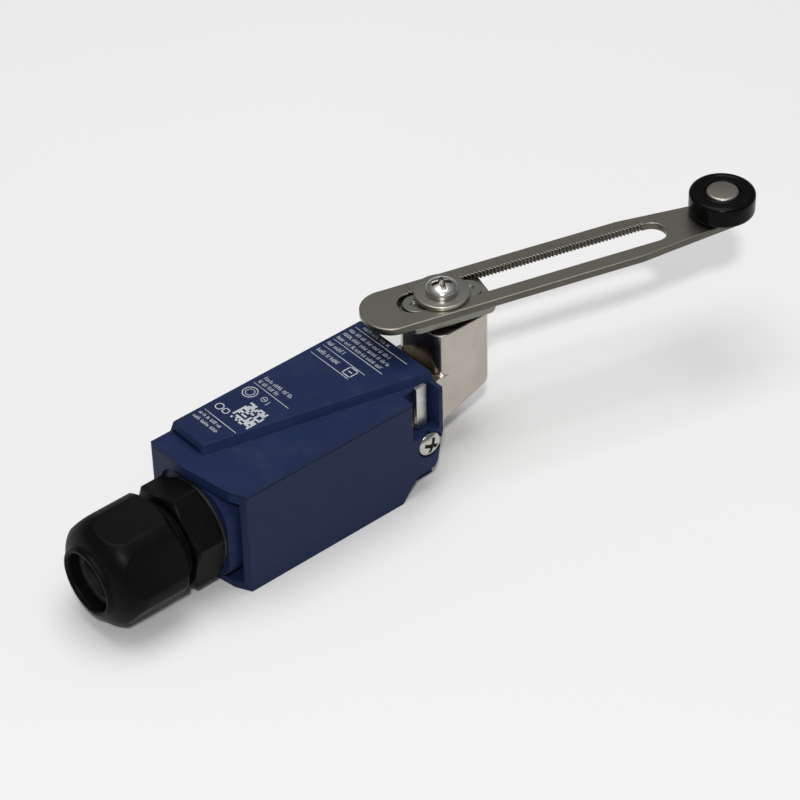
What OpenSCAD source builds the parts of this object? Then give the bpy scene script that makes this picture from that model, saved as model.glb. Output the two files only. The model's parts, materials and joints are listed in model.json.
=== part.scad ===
// Compact plastic limit switch with a metal rotary head, an adjustable slotted roller lever
// and a cable gland. Millimetres, +Z up. The back (mounting) face is z = 0, the label faces +Z,
// +Y runs from the cable gland to the head, and the origin lies midway between the fixing holes.

/* [Body] */
// Width of the body
body_w = 31; // [28:0.5:40]
// Length of the body from the gland end to the head end
body_l = 65.4; // [60:0.5:90]
// Height of the side walls, up to the cover's seam
wall_h = 29.4; // [28:0.2:36]
// Thickness of the body's walls
wall = 2.2; // [1.8:0.1:2.6]
// Distance from the fixing holes to the head end
head_end = 15.2; // [15:0.1:18]

/* [Cover] */
// Thickness of the cover's deck at its edge
deck_t = 0.9; // [0.8:0.1:1.5]
// Rise of the label field over the deck
label_rise = 2.3; // [1.5:0.1:3]

/* [Fixing] */
// Centre distance of the two fixing holes
fix_pitch = 22; // [20:0.5:22]
// Diameter of the fixing holes
fix_d = 4.3; // [3.2:0.1:4.3]

/* [Head] */
// Width of the metal head
head_w = 17; // [16:0.5:21]
// Length of the head's turret
head_l = 17.4; // [17:0.2:22]
// Height of the head's top face
head_top = 38; // [37.5:0.5:44]
// Height of the axis on which the head turns on the body
head_axis_z = 16; // [15.5:0.1:16.5]
// Diameter of the lever shaft
shaft_d = 8; // [6:0.5:8.5]

/* [Lever] */
// Angle of the lever at rest, from the body's long axis
lever_angle = 16; // [-70:1:70]
// Distance from the shaft to the roller
roller_reach = 78; // [70:1:110]
// Width of the arm
arm_w = 16; // [14:0.5:20]
// Thickness of the arm
arm_t = 2; // [1.5:0.1:2.5]
// Width of the arm's slot
slot_w = 7.6; // [7:0.1:8.4]
// Diameter of the roller
roller_d = 17; // [12:0.5:24]
// Width of the roller
roller_h = 6; // [4:0.5:10]

/* [Gland] */
// Outer diameter of the gland's thread
gland_thread_d = 20; // [16:0.5:20]
// Width across the flats of the gland body
gland_flats = 24; // [22:0.5:24.5]
// Width of the dome nut across its rounded corners
dome_d = 28.6; // [26:0.2:29]
// Diameter of the cable bore in the seal insert
cable_d = 11; // [8:0.5:11.5]

/* [Hidden] */
$fn = 64;
run_gap = 0.05;
fit_gap = 0.15;
free_gap = 0.3;
tiny = 0.01;

half_w = body_w / 2;
near_y = head_end - body_l;
deck_top = wall_h + deck_t;
label_z = deck_top + label_rise;
mid_z = 14.5;

// Plan of the gland end: flat on the left, drawn back towards the right corner
near_flat_x = -2;
near_bend_x = half_w - 4;
near_bend = 2.5;
near_corner = 4.6;

// Cavity, recess at the gland end and pocket for the head's spigot
floor_t = 2.4;
cavity_y0 = near_y + 10;
cavity_y1 = 3.8;
recess_depth = 6.5;
recess_in = 1.8;
recess_x0 = -5;
recess_top = wall_h - 2.2;
boss_w = 24.6;
boss_r = 7;
boss_proud = 0.9;
thread_r = gland_thread_d / 2;

spigot_r = 12;
neck_r = 11.2;
yoke_y = 11;
yoke_l = 3.2;
yoke_t = 1.2;
yoke_base_t = 1;
yoke_in = neck_r + fit_gap;
yoke_z0 = 3.6;
yoke_z1 = wall_h + 1.2;
flange_y0 = 7.6;
flange_y1 = yoke_y - yoke_l / 2 - fit_gap;
pocket_y0 = flange_y0 - free_gap;

// Side screw that draws the yoke in
side_screw_r = 1.5;
side_head_r = 3.4;
side_head_h = 2.2;
side_z = 14.3;
side_seat_x = half_w - 1.3;

// Notch at the label side of the head end, and the label field beside it
notch_x = 11.4;
notch_y0 = 5.6;
notch_z = 18;
notch_step = 1.2;
end_wall = 1.2;
crease_end_x = notch_x + 0.8;
crease_slope = 0.2545;
slope_w = 1.1;
label_y0 = near_y + 7;
label_t = 1.4;

// Cover: seam under the deck, skirt in the housing, hollow inside it and pry slot
seam_h = 0.25;
seam_in = 0.35;
skirt_h = 1.6;
skirt_x = half_w - wall - fit_gap;
inner_x = half_w - wall - 1.6;
inner_y0 = cavity_y0 + 1.6;
inner_y1 = cavity_y1 - 1.6;
gasket_h = 1.5;
gasket_w = 1.6;
pry_x = -4.4;
pry_in = 0.7;
pry_depth = 0.4;

// Fixing bushes
bush_wall = 0.9;
bush_r = fix_d / 2 + bush_wall;
post_r = bush_r + 1.4;
post_h = 21;
fix_x = fix_pitch / 2;

// Contact block, held by two screws from the back
block_screw_r = 1.25;
block_head_r = 2.2;
block_head_h = 1.3;
block_screw_l = 8.4;
block_x = 12;
block_y0 = -30;
block_y1 = -6.4;
block_z0 = 6.4;
block_z1 = 24.6;
lid_t = 1.6;
lid_x = 5.5;
rib_x = 5;
block_screw_ys = [block_y0 + 2.6, block_y1 - 2.6];
chamber_x = 8.6;
chamber_y0 = block_y0 + 1.6;
chamber_y1 = block_y1 - 2;
chamber_z0 = 10;
travel = 3.5;
carrier_w = 5.6;
carrier_h = 7.6;
coil_r = 1.35;
coil_wire_r = 0.3;
stem_r = 2.2;
carrier_y0 = chamber_y0 + travel + 0.8;
carrier_y1 = chamber_y1 - 0.4;
nc_y = carrier_y1 - 2.6;
no_y = nc_y - 7.2;
nc_gap = 0.05;
no_gap = travel + 0.3;
terminal_ys = [nc_y + nc_gap, no_y - no_gap];
bridge_t = 0.6;
bridge_h = 4;
bridge_x = 7.4;
strip_t = 0.8;
strip_w = 3.4;
strip_x = 6.4;
term_x = 9.3;
term_screw_r = 1.5;
term_bore_l = 6.2;

// Head
head_y0 = head_end + 5.2;
head_y1 = head_y0 + head_l;
shaft_y = head_y0 + head_l / 2 - 0.4;
shaft_r = shaft_d / 2;
turret_r = 3.2;
neck_z = 25.6;
cam_z = 19;
cam_t = 2.6;
cam_r = 6;
cam_room_r = cam_r + 1;
nose_w = 4.2;
nose_y0 = shaft_y - cam_room_r - 3;
nose_z = cam_z + cam_t + free_gap;
room_top = 26;
plunger_r = 2.2;
plunger_tip = shaft_y - cam_r - free_gap;
bush_out_r = shaft_r + 1.6;
seal_z = head_top - 2.4;
cap_z = 17;
cap_t = 1.4;

// Lever
plate_t = 1.7;
plate_z = head_top + 1.2;
arm_z = plate_z + plate_t;
arm_top = arm_z + arm_t;
key_l = 20.8;
key_w = slot_w - 0.8;
slot_y0 = -11.7;
slot_y1 = roller_reach - 16;
arm_tail = 21.2;
tail_r = 7;
arm_tip_w = 10.4;
tip_flare = 0.6;
rack_end = slot_y1 - 5;
taper_y = slot_y1 - 10;
rack_pitch = 1;
rack_depth = 0.5;
rack_land = 0.94;
washer_r = 7;
washer_t = 1.1;
screw_head_r = 4;
screw_head_h = 2.9;
screw_r = 2;
pin_r = 2.5;
pin_head_r = 4.2;
roller_z = arm_top + 0.5;

// Gland, along -Y from the boss: sealing ring, collar, hexagon, thread, dome nut
boss_y = near_y + boss_proud;
ring_t = 0.8;
collar_l = boss_proud - ring_t + fit_gap;
collar_r = 11.4;
hex_y1 = boss_y - ring_t - collar_l;
hex_l = 8.4;
hex_turn = 17;
nut_turn = 54;
nut_flats = dome_d - 2.3;
dome_y1 = hex_y1 - hex_l - 3;
dome_l = 20.5;
dome_y0 = dome_y1 - dome_l;
crown_r = 7.2;
lip_h = 0.9;
lip_r = 9.2;
gland_bore_r = 7.4;
nut_thread_r = 10.4;

// A cylinder that runs along +Y from y0 to y1, centred on x and z
module rod_y(r, y0, y1, x = 0, z = 0)
    translate([x, y0, z]) rotate([-90, 0, 0]) cylinder(r = r, h = y1 - y0);

// A cylinder that runs along +X from x0 to x1
module rod_x(r, x0, x1, y = 0, z = 0)
    translate([x0, y, z]) rotate([0, 90, 0]) cylinder(r = r, h = x1 - x0);

// A box between two corners
module block(a, b)
    translate(a) cube([b.x - a.x, b.y - a.y, b.z - a.z]);

// A rectangle with round corners, centred on the origin
module round_rect(w, l, r) {
    square([w - 2 * r, l], center = true);
    square([w, l - 2 * r], center = true);
    for (sx = [-1, 1], sy = [-1, 1])
        translate([sx * (w / 2 - r), sy * (l / 2 - r)]) circle(r = r);
}

// A slot outline along Y, from y0 to y1 between the centres of its round ends
module slot_shape(w, y0, y1) {
    translate([-w / 2, y0]) square([w, y1 - y0]);
    for (y = [y0, y1])
        translate([0, y]) circle(d = w);
}

// A cross recess for a driver, cut from z = 0 down
module cross_cut(len, w, depth)
    for (a = [0, 90])
        rotate([0, 0, a]) translate([-len / 2, -w / 2, -depth]) cube([len, w, depth + 1]);

// A pan head screw along -Z, with its seat at z = 0
module pan_screw(head_r, head_h, shank_r, length) {
    difference() {
        rotate_extrude()
            intersection() {
                translate([0, head_h - head_r * 2.2]) circle(r = head_r * 2.2);
                square([head_r, head_h]);
            }
        translate([0, 0, head_h]) cross_cut(head_r * 1.15, head_r * 0.24, head_h * 0.6);
    }
    translate([0, 0, -length]) cylinder(r = shank_r, h = length + tiny);
}

// A ring of rectangular section round the Z axis
module ring(r_out, r_in, h)
    difference() {
        cylinder(r = r_out, h = h);
        translate([0, 0, -1]) cylinder(r = r_in, h = h + 2);
    }

// The body's plan between its gland end and y1, drawn in by inset
module body_plan(inset, y1)
    polygon([[-half_w + inset, y1], [-half_w + inset, near_y + inset], [near_flat_x, near_y + inset],
        [near_bend_x - inset, near_y + near_bend + inset], [half_w - inset, near_y + near_corner + inset],
        [half_w - inset, y1]]);

// Side view of the relief under each head-end corner, as [y, z] points
function ear_relief() = let (y = yoke_y)
    [[y - 9, -1], [y - 9, 0], [y - 6.4, 3.6], [y - 4, 6.2], [y + 1.4, 6.4], [y + 2.4, 8],
        [y + 3.4, 13.5], [y + 4.3, 17], [y + 9, 17], [y + 9, -1]];

module boss_shape(inset)
    round_rect(boss_w - 2 * inset, boss_w - 2 * inset, boss_r - inset);

// The yoke's two legs beside the head's neck, grown by gap, between z0 and z1
module yoke_legs(gap, z0, z1)
    for (side = [-1, 1])
        translate([side * (yoke_in + yoke_t / 2), yoke_y, z0]) linear_extrude(z1 - z0)
            square([yoke_t + 2 * gap, yoke_l + 2 * gap], center = true);

// Spaces cut into the housing at its head end
module head_end_cuts() {
    rod_y(spigot_r + fit_gap, pocket_y0, head_end - end_wall, 0, head_axis_z);
    rod_y(neck_r + fit_gap, head_end - end_wall - tiny, head_end + 1, 0, head_axis_z);
    rod_y(stem_r + run_gap * 4, cavity_y1 - 1, pocket_y0 + 1, 0, head_axis_z);
    yoke_legs(fit_gap, yoke_z0 - fit_gap, wall_h + 1);
    block([-yoke_in, yoke_y - yoke_l / 2 - fit_gap, yoke_z0 - fit_gap],
        [yoke_in, yoke_y + yoke_l / 2 + fit_gap, head_axis_z]);
    block([notch_x - notch_step, notch_y0, notch_z], [half_w + 1, head_end - end_wall, wall_h + 1]);
    for (side = [0, 1])
        mirror([side, 0, 0]) translate([half_w - 4.6, 0, 0]) rotate([90, 0, 90])
            linear_extrude(6) polygon(ear_relief());
    rod_x(side_screw_r + run_gap, yoke_in - 1, half_w + 1, yoke_y, side_z);
    rod_x(side_head_r + free_gap, side_seat_x, half_w + 1, yoke_y, side_z);
}

module housing() color([0.15, 0.2, 0.33]) difference() {
    union() {
        difference() {
            linear_extrude(wall_h) body_plan(0, head_end);
            block([-half_w + wall, cavity_y0, floor_t], [half_w - wall, cavity_y1, wall_h + 1]);
            block([recess_x0, near_y - 1, recess_in],
                [half_w - recess_in, near_y + recess_depth, recess_top]);
        }
        translate([0, cavity_y0, mid_z]) rotate([90, 0, 0])
            linear_extrude(cavity_y0 - boss_y) boss_shape(0);
        for (x = [-fix_x, fix_x])
            translate([x, 0, 0]) cylinder(r = post_r, h = post_h);
        for (x = [-rib_x, rib_x])
            block([x - 1, block_y0 + 1, floor_t - tiny], [x + 1, block_y1 - 1, block_z0]);
    }
    translate([0, boss_y, mid_z]) rotate([90, 0, 0]) linear_extrude(boss_proud + 1) boss_shape(0);
    rod_y(thread_r, near_y - 1, cavity_y0 + 1, 0, mid_z);
    for (x = [-fix_x, fix_x])
        translate([x, 0, -1]) cylinder(r = bush_r, h = post_h + 2);
    for (y = block_screw_ys) {
        translate([0, y, -1]) cylinder(r = block_screw_r + run_gap, h = floor_t + 2);
        translate([0, y, -1]) cylinder(r = block_head_r + fit_gap, h = block_head_h + 1.1);
    }
    head_end_cuts();
}

// X of the crease where the label field's right slope meets the deck
function crease_x(y) = crease_end_x - crease_slope * (head_end - y);

// The label field's plan: flush with the left wall, its right edge runs askew
module label_plan(grow)
    polygon([[-half_w + tiny, head_end], [-half_w + tiny, label_y0 - grow],
        [crease_x(label_y0) - slope_w + grow, label_y0 - grow],
        [crease_x(head_end) - slope_w + grow, head_end]]);

// Deck with a drawn-in seam under it, raised label field, skirt in the housing and pry slot
module cover() color([0.15, 0.2, 0.33]) difference() {
    union() {
        translate([0, 0, wall_h]) linear_extrude(seam_h) body_plan(seam_in, head_end - seam_in);
        translate([0, 0, wall_h + seam_h - tiny])
            linear_extrude(deck_t - seam_h + tiny) body_plan(0, head_end);
        hull() {
            translate([0, 0, deck_top - tiny]) linear_extrude(tiny) label_plan(slope_w);
            translate([0, 0, label_z - tiny]) linear_extrude(tiny) label_plan(0);
        }
        block([-skirt_x, cavity_y0 + fit_gap, wall_h - skirt_h],
            [skirt_x, cavity_y1 - fit_gap, wall_h + seam_h]);
    }
    block([-inner_x, inner_y0, wall_h - skirt_h - 1], [inner_x, inner_y1, deck_top - 0.2]);
    block([-inner_x, inner_y0 + 4.4, deck_top - 1], [-4, inner_y1, label_z - label_t]);
    block([notch_x, notch_y0, wall_h - skirt_h - 1], [half_w + 1, head_end - end_wall, label_z + 1]);
    block([-half_w + 1, label_y0 - slope_w - 1, deck_top - pry_depth],
        [pry_x, label_y0 + pry_in, deck_top + pry_in]);
    yoke_legs(fit_gap, wall_h - 1, yoke_z1 + fit_gap);
}

module cover_gasket() color([0.08, 0.08, 0.08]) difference() {
    block([fit_gap - inner_x, inner_y0 + fit_gap, wall_h - gasket_h],
        [inner_x - fit_gap, inner_y1 - fit_gap, wall_h - 0.2]);
    block([gasket_w - inner_x, inner_y0 + gasket_w, wall_h - gasket_h - 1],
        [inner_x - gasket_w, inner_y1 - gasket_w, wall_h]);
}

module fixing_bushes() color([0.75, 0.74, 0.7])
    for (x = [-fix_x, fix_x])
        translate([x, 0, 0]) ring(bush_r, fix_d / 2, post_h);

// A U-shaped yoke: two legs beside the head's neck, joined under it
module head_clamp_yoke() color([0.76, 0.75, 0.71]) difference() {
    union() {
        yoke_legs(0, yoke_z0, yoke_z1);
        block([-yoke_in, yoke_y - yoke_l / 2, yoke_z0],
            [yoke_in, yoke_y + yoke_l / 2, yoke_z0 + yoke_base_t]);
    }
    rod_x(side_screw_r + run_gap, yoke_in - 1, half_w + 1, yoke_y, side_z);
}

module clamp_screw() color([0.78, 0.77, 0.74])
    translate([side_seat_x, yoke_y, side_z]) rotate([0, 90, 0])
        pan_screw(side_head_r, side_head_h, side_screw_r, side_seat_x - yoke_in - fit_gap);

// Fixed contact strip: contact arm, riser and terminal tab, grown by gap all round
module fixed_strip(side, y, face, gap) {
    x0 = side > 0 ? strip_x : -term_x - 2.2;
    x1 = side > 0 ? term_x + 2.2 : -strip_x;
    y0 = y + face * bridge_t / 2;
    ya = min(y0, y0 + face * strip_t);
    rx = side > 0 ? chamber_x + 1 : -chamber_x - 1 - strip_t;
    block([x0 - gap, ya - gap, head_axis_z - strip_w / 2 - gap],
        [x1 + gap, ya + strip_t + gap, head_axis_z + strip_w / 2 + gap]);
    block([rx - gap, ya - gap, head_axis_z - gap],
        [rx + strip_t + gap, ya + strip_t + gap, block_z1 - strip_t]);
    block([x0 + (side > 0 ? 0.6 : 0) - gap, y - 2.6 - gap, block_z1 - strip_t - gap],
        [x1 - (side > 0 ? 0 : 0.6) + gap, y + 2.6 + gap, block_z1 + gap]);
}

module nc_strips(gap)
    for (side = [-1, 1])
        fixed_strip(side, nc_y + nc_gap, 1, gap);

module no_strips(gap)
    for (side = [-1, 1])
        translate([0, -no_gap, 0]) fixed_strip(side, no_y, -1, gap);

module block_case() color([0.16, 0.16, 0.17]) difference() {
    block([-block_x, block_y0, block_z0], [block_x, block_y1, block_z1]);
    block([-chamber_x, chamber_y0, chamber_z0], [chamber_x, chamber_y1, block_z1 - lid_t - 0.6]);
    block([-lid_x, chamber_y0, block_z1 - lid_t - 1], [lid_x, chamber_y1, block_z1 + 1]);
    rod_y(stem_r + run_gap, chamber_y1 - 1, block_y1 + 1, 0, head_axis_z);
    nc_strips(run_gap);
    no_strips(run_gap);
    for (x = [-term_x, term_x], y = terminal_ys)
        translate([x, y, block_z1 - term_bore_l]) cylinder(r = term_screw_r + run_gap, h = 8);
    for (y = block_screw_ys)
        translate([0, y, 0]) cylinder(r = block_screw_r + run_gap, h = block_head_h + block_screw_l + 0.3);
}

module block_lid() color([0.2, 0.2, 0.21])
    block([run_gap - lid_x, chamber_y0 + run_gap, block_z1 - lid_t],
        [lid_x - run_gap, chamber_y1 - run_gap, block_z1]);

module block_screws() color([0.7, 0.69, 0.66])
    for (y = block_screw_ys)
        translate([0, y, block_head_h + 0.1]) rotate([180, 0, 0])
            pan_screw(block_head_r, block_head_h, block_screw_r, block_screw_l);

module nc_fixed_contacts() color([0.8, 0.6, 0.35]) difference() {
    nc_strips(0);
    terminal_bores();
}

module no_fixed_contacts() color([0.8, 0.6, 0.35]) difference() {
    no_strips(0);
    terminal_bores();
}

module terminal_bores()
    for (x = [-term_x, term_x], y = terminal_ys)
        translate([x, y, block_z1 - term_bore_l]) cylinder(r = term_screw_r + run_gap, h = 12);

module terminal_screws() color([0.76, 0.75, 0.72])
    for (x = [-term_x, term_x], y = terminal_ys)
        translate([x, y, block_z1 + 0.9]) pan_screw(2.5, 1.7, term_screw_r, 6);

module terminal_plates() color([0.72, 0.71, 0.67])
    for (x = [-term_x, term_x], y = terminal_ys)
        translate([x, y, block_z1 + run_gap]) difference() {
            block([-2.6, -2.5, 0], [2.6, 2.5, 0.8]);
            translate([0, 0, -1]) cylinder(r = term_screw_r + run_gap, h = 4);
        }

module contact_carrier() color([0.85, 0.84, 0.8]) difference() {
    union() {
        block([-carrier_w / 2, carrier_y0, head_axis_z - carrier_h / 2],
            [carrier_w / 2, carrier_y1, head_axis_z + carrier_h / 2]);
        rod_y(stem_r, carrier_y1 - tiny, flange_y0 - 1.2, 0, head_axis_z);
    }
    rod_y(coil_r + coil_wire_r + run_gap * 5, carrier_y0 - 1, no_y - 1.4, 0, head_axis_z);
    bridge_space(nc_y, run_gap);
    bridge_space(no_y, run_gap);
}

module bridge_space(y, gap)
    block([-bridge_x - gap, y - bridge_t / 2 - gap, head_axis_z - bridge_h / 2 - gap],
        [bridge_x + gap, y + bridge_t / 2 + gap, head_axis_z + bridge_h / 2 + gap]);

module nc_bridge() color([0.82, 0.8, 0.74]) bridge_space(nc_y, 0);

module no_bridge() color([0.82, 0.8, 0.74]) bridge_space(no_y, 0);

// A close-wound coil along Z, its turns touching
module coil(r, wire_r, turns)
    for (i = [0:turns - 1])
        translate([0, 0, i * (2 * wire_r - 0.04)]) rotate_extrude()
            translate([r, 0]) circle(r = wire_r, $fn = 16);

module carrier_spring() color([0.7, 0.7, 0.7])
    translate([0, chamber_y0 + coil_wire_r, head_axis_z]) rotate([-90, 0, 0]) coil(coil_r, coil_wire_r, 8);

// Side view of the turret, as [y, z] points
function turret_side() = let (y = head_end)
    [[y + 0.9, 9.5], [y + 5.2, 11.6], [head_y1, 17.6], [head_y1, head_top], [head_y0, head_top],
        [head_y0, neck_z], [y + 0.9, neck_z - 2]];

module turret() intersection() {
    translate([-head_w / 2, 0, 0]) rotate([90, 0, 90]) linear_extrude(head_w) polygon(turret_side());
    union() {
        translate([0, (head_y0 + head_y1) / 2, 0]) linear_extrude(60) round_rect(head_w, head_l, turret_r);
        block([-head_w / 2, head_end, 0], [head_w / 2, head_y0 + turret_r, neck_z]);
    }
}

module head_housing() color([0.72, 0.7, 0.66]) difference() {
    union() {
        turret();
        rod_y(spigot_r, flange_y0, flange_y1, 0, head_axis_z);
        rod_y(neck_r, flange_y1 - tiny, head_end + 0.9 + tiny, 0, head_axis_z);
        rod_y(neck_r + 0.9, head_end + 0.9, head_end + 3.2, 0, head_axis_z);
    }
    rod_y(plunger_r + run_gap, flange_y0 - 1, shaft_y - cam_room_r + 0.5, 0, head_axis_z);
    block([-nose_w / 2 - free_gap, nose_y0 - travel - 0.8, head_axis_z - 1],
        [nose_w / 2 + free_gap, shaft_y - cam_room_r + 0.6, nose_z + free_gap]);
    translate([0, shaft_y, 0]) {
        cylinder(r = cam_room_r, h = room_top);
        cylinder(r = bush_out_r, h = head_top + 1);
        translate([0, 0, head_top - 0.6]) cylinder(r = bush_out_r + 1, h = 2);
    }
}

module head_gasket() color([0.07, 0.07, 0.07])
    translate([0, head_end + run_gap, head_axis_z]) rotate([-90, 0, 0])
        ring(neck_r + 1.1, neck_r + run_gap, 0.8);

// Push rod with a raised nose that the cam meets
module head_plunger() color([0.8, 0.79, 0.76]) {
    rod_y(plunger_r, flange_y0 - 1.1, shaft_y - cam_room_r - 1, 0, head_axis_z);
    block([-nose_w / 2, nose_y0, head_axis_z - 0.6], [nose_w / 2, shaft_y - cam_room_r - 0.6, nose_z]);
    block([-nose_w / 2, shaft_y - cam_room_r - 1, cam_z], [nose_w / 2, plunger_tip, nose_z]);
}

module shaft_bush() color([0.72, 0.55, 0.3])
    translate([0, shaft_y, room_top]) ring(bush_out_r - 0.02, shaft_r + run_gap, seal_z - room_top - 0.1);

module shaft_seal() color([0.06, 0.06, 0.06])
    translate([0, shaft_y, seal_z]) ring(bush_out_r - 0.02, shaft_r + run_gap, 1.6);

module head_end_cap() color([0.7, 0.69, 0.66]) difference() {
    translate([0, shaft_y, cap_z]) cylinder(r = cam_room_r - run_gap, h = cap_t);
    block([-2.6, shaft_y - cam_room_r - 1, cap_z - 1], [2.6, shaft_y - cam_room_r + 1.6, cap_z + 3]);
}

module lever_shaft() color([0.74, 0.73, 0.7]) translate([0, shaft_y, 0]) difference() {
    union() {
        translate([0, 0, cap_z + cap_t + 0.1]) cylinder(r = shaft_r - 1, h = 2);
        translate([0, 0, cam_z]) cylinder(r = shaft_r - 1, h = cam_t + 0.6);
        translate([0, 0, cam_z + cam_t]) cylinder(r = shaft_r, h = plate_z - cam_z - cam_t - 0.6);
        translate([0, 0, plate_z - 0.7]) cylinder(r = shaft_r, h = 0.7);
        translate([0, 0, plate_z - 0.1]) cylinder(r = shaft_r - 0.8, h = plate_t + 0.1);
    }
    translate([0, 0, arm_top - 12]) cylinder(r = screw_r + run_gap, h = 20);
}

// Cam with a flat towards the plunger
module cam() color([0.86, 0.85, 0.8]) translate([0, shaft_y, cam_z]) difference() {
    intersection() {
        cylinder(r = cam_r, h = cam_t - 0.1);
        translate([-cam_r, -cam_r + 0.4, -1]) cube([2 * cam_r, 2 * cam_r, cam_t + 2]);
    }
    translate([0, 0, -1]) cylinder(r = shaft_r - 1 + run_gap, h = cam_t + 2);
}

module retaining_clip() color([0.5, 0.5, 0.5])
    translate([0, shaft_y, cam_z + cam_t + 0.2]) difference() {
        ring(shaft_r + 1.2, shaft_r + run_gap, 0.6);
        block([-1.4, 0, -1], [1.4, shaft_r + 3, 2]);
    }

// Coil round the shaft with a leg that bears on the head's wall
module lever_spring() color([0.6, 0.6, 0.62])
    translate([0, shaft_y, cam_z + cam_t + 1.5]) {
        coil(shaft_r + 1.3, 0.45, 3);
        rod_x(0.4, shaft_r + 1.3, cam_room_r - 0.05);
    }

// Places its children in the lever's own frame: y along the arm from the shaft
module in_lever() translate([0, shaft_y, 0]) rotate([0, 0, -lever_angle]) children();

module drive_plate() color([0.62, 0.64, 0.55]) in_lever() difference() {
    union() {
        translate([0, 0, plate_z]) linear_extrude(plate_t - 0.02) round_rect(arm_w - 0.4, 24, 3);
        translate([0, 0, arm_z - 0.1]) linear_extrude(arm_t - 0.4)
            slot_shape(key_w, (key_w - key_l) / 2, (key_l - key_w) / 2);
    }
    translate([0, 0, plate_z - 1]) cylinder(r = shaft_r - 0.8 + run_gap, h = plate_t + 1);
    translate([0, 0, plate_z]) cylinder(r = screw_r + run_gap, h = 6);
    for (y = [-7.6, 7.6])
        translate([0, y, arm_top - 0.9]) cylinder(r = 0.9, h = 2);
}

module arm_screw() color([0.78, 0.77, 0.75]) in_lever()
    translate([0, 0, arm_top + washer_t + 0.02]) pan_screw(screw_head_r, screw_head_h, screw_r, 11);

module arm_washer() color([0.6, 0.6, 0.56]) in_lever()
    translate([0, 0, arm_top + 0.02]) ring(washer_r, screw_r + 0.15, washer_t - 0.02);

// Arm plate: round tail, parallel sides, taper to the roller end
module arm_plate() {
    tip = arm_tip_w / 2;
    side_x = arm_w / 2;
    for (x = [-1, 1])
        translate([x * (side_x - tail_r - tiny), tail_r - arm_tail, 0]) cylinder(r = tail_r, h = arm_t);
    linear_extrude(arm_t) polygon([[tail_r - side_x + 0.1, -arm_tail], [side_x - tail_r - 0.1, -arm_tail],
        [side_x - tail_r, tail_r - arm_tail], [side_x, tail_r - arm_tail], [side_x, taper_y],
        [tip + tip_flare, roller_reach - 6], [tip * 0.9, roller_reach + 2], [-tip * 0.9, roller_reach + 2],
        [-tip - tip_flare, roller_reach - 6], [-side_x, taper_y], [-side_x, tail_r - arm_tail],
        [tail_r - side_x, tail_r - arm_tail]]);
    translate([0, roller_reach, 0]) cylinder(r = tip, h = arm_t);
}

// Rack teeth along the left edge of the slot
module rack_teeth()
    for (y = [slot_y0 + slot_w / 2 + rack_pitch : rack_pitch : rack_end])
        translate([-slot_w / 2, y])
            polygon([[-rack_depth, 0], [tiny, -rack_land / 2], [tiny, rack_land / 2]]);

module lever_arm() color([0.5, 0.5, 0.46]) in_lever() difference() {
    translate([0, 0, arm_z]) arm_plate();
    translate([0, 0, arm_z - 1]) linear_extrude(arm_t + 2)
        slot_shape(slot_w, slot_y0 + slot_w / 2, slot_y1 - slot_w / 2);
    translate([0, 0, arm_z - 1]) linear_extrude(arm_t + 2) rack_teeth();
    translate([0, roller_reach, arm_z - 1]) cylinder(r = pin_r + 0.02, h = arm_t + 2);
}

module roller_rivet() color([0.75, 0.75, 0.74]) in_lever() translate([0, roller_reach, 0]) {
    translate([0, 0, arm_z - 0.9]) cylinder(r = pin_head_r - 0.4, h = 0.88);
    translate([0, 0, arm_z - 0.1]) cylinder(r = pin_r, h = roller_z + roller_h - arm_z + 0.4);
    translate([0, 0, roller_z + roller_h - 0.7]) cylinder(r1 = pin_head_r, r2 = pin_head_r, h = 0.9);
}

module roller_spacer() color([0.7, 0.7, 0.68]) in_lever()
    translate([0, roller_reach, arm_top + 0.02]) ring(pin_r + 1.6, pin_r + 0.02, 0.44);

module roller() color([0.05, 0.05, 0.05]) in_lever() translate([0, roller_reach, roller_z]) difference() {
    rotate_extrude() polygon([[pin_r + run_gap, 0], [roller_d / 2 - 0.6, 0], [roller_d / 2, 0.6],
        [roller_d / 2, roller_h - 0.6], [roller_d / 2 - 0.6, roller_h], [pin_r + run_gap, roller_h]]);
    translate([0, 0, roller_h - 0.8]) cylinder(r = pin_head_r + 0.1, h = 2);
}

// Half section of a vee thread between y0 and y1, as [r, y] points from crest to crest
function thread_points(r, depth, y0, y1, pitch) =
    [for (i = [0 : floor((y1 - y0) / pitch) - 1], k = [0, 1])
        [k == 0 ? r : r - depth, y0 + (i + k / 2) * pitch]];

module thread_solid(r, depth, bore_r, y0, y1, pitch)
    rotate([-90, 0, 0]) rotate_extrude()
        polygon(concat([[bore_r, y0]], thread_points(r, depth, y0, y1, pitch),
            [[r - depth, y1], [bore_r, y1]]));

module gland_body() color([0.09, 0.09, 0.09]) translate([0, 0, mid_z]) {
    thread_solid(thread_r - run_gap, 0.6, gland_bore_r, hex_y1 - tiny, cavity_y0 + 0.4, 1.5);
    thread_solid(nut_thread_r, 0.5, gland_bore_r + 1, dome_y1 - 7.9, hex_y1 - hex_l + tiny, 1.5);
    difference() {
        union() {
            rod_y(collar_r, hex_y1 - tiny, hex_y1 + collar_l);
            intersection() {
                translate([0, hex_y1, 0]) rotate([90, 0, 0]) rotate([0, 0, hex_turn])
                    cylinder(d = gland_flats / cos(30), h = hex_l, $fn = 6);
                translate([0, hex_y1 - hex_l, 0]) rotate([-90, 0, 0]) rotate_extrude()
                    polygon([[0, 0], [gland_flats / 2, 0], [gland_flats / 2 + 1.9, 1.1],
                        [gland_flats / 2 + 1.9, hex_l - 1.1], [gland_flats / 2, hex_l], [0, hex_l]]);
            }
        }
        rod_y(gland_bore_r, hex_y1 - hex_l - 1, hex_y1 + collar_l + 1);
    }
}

module gland_ring() color([0.07, 0.07, 0.07])
    translate([0, boss_y - ring_t + 0.03, mid_z]) rotate([-90, 0, 0])
        ring(thread_r + 1.8, thread_r, ring_t - 0.06);

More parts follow.
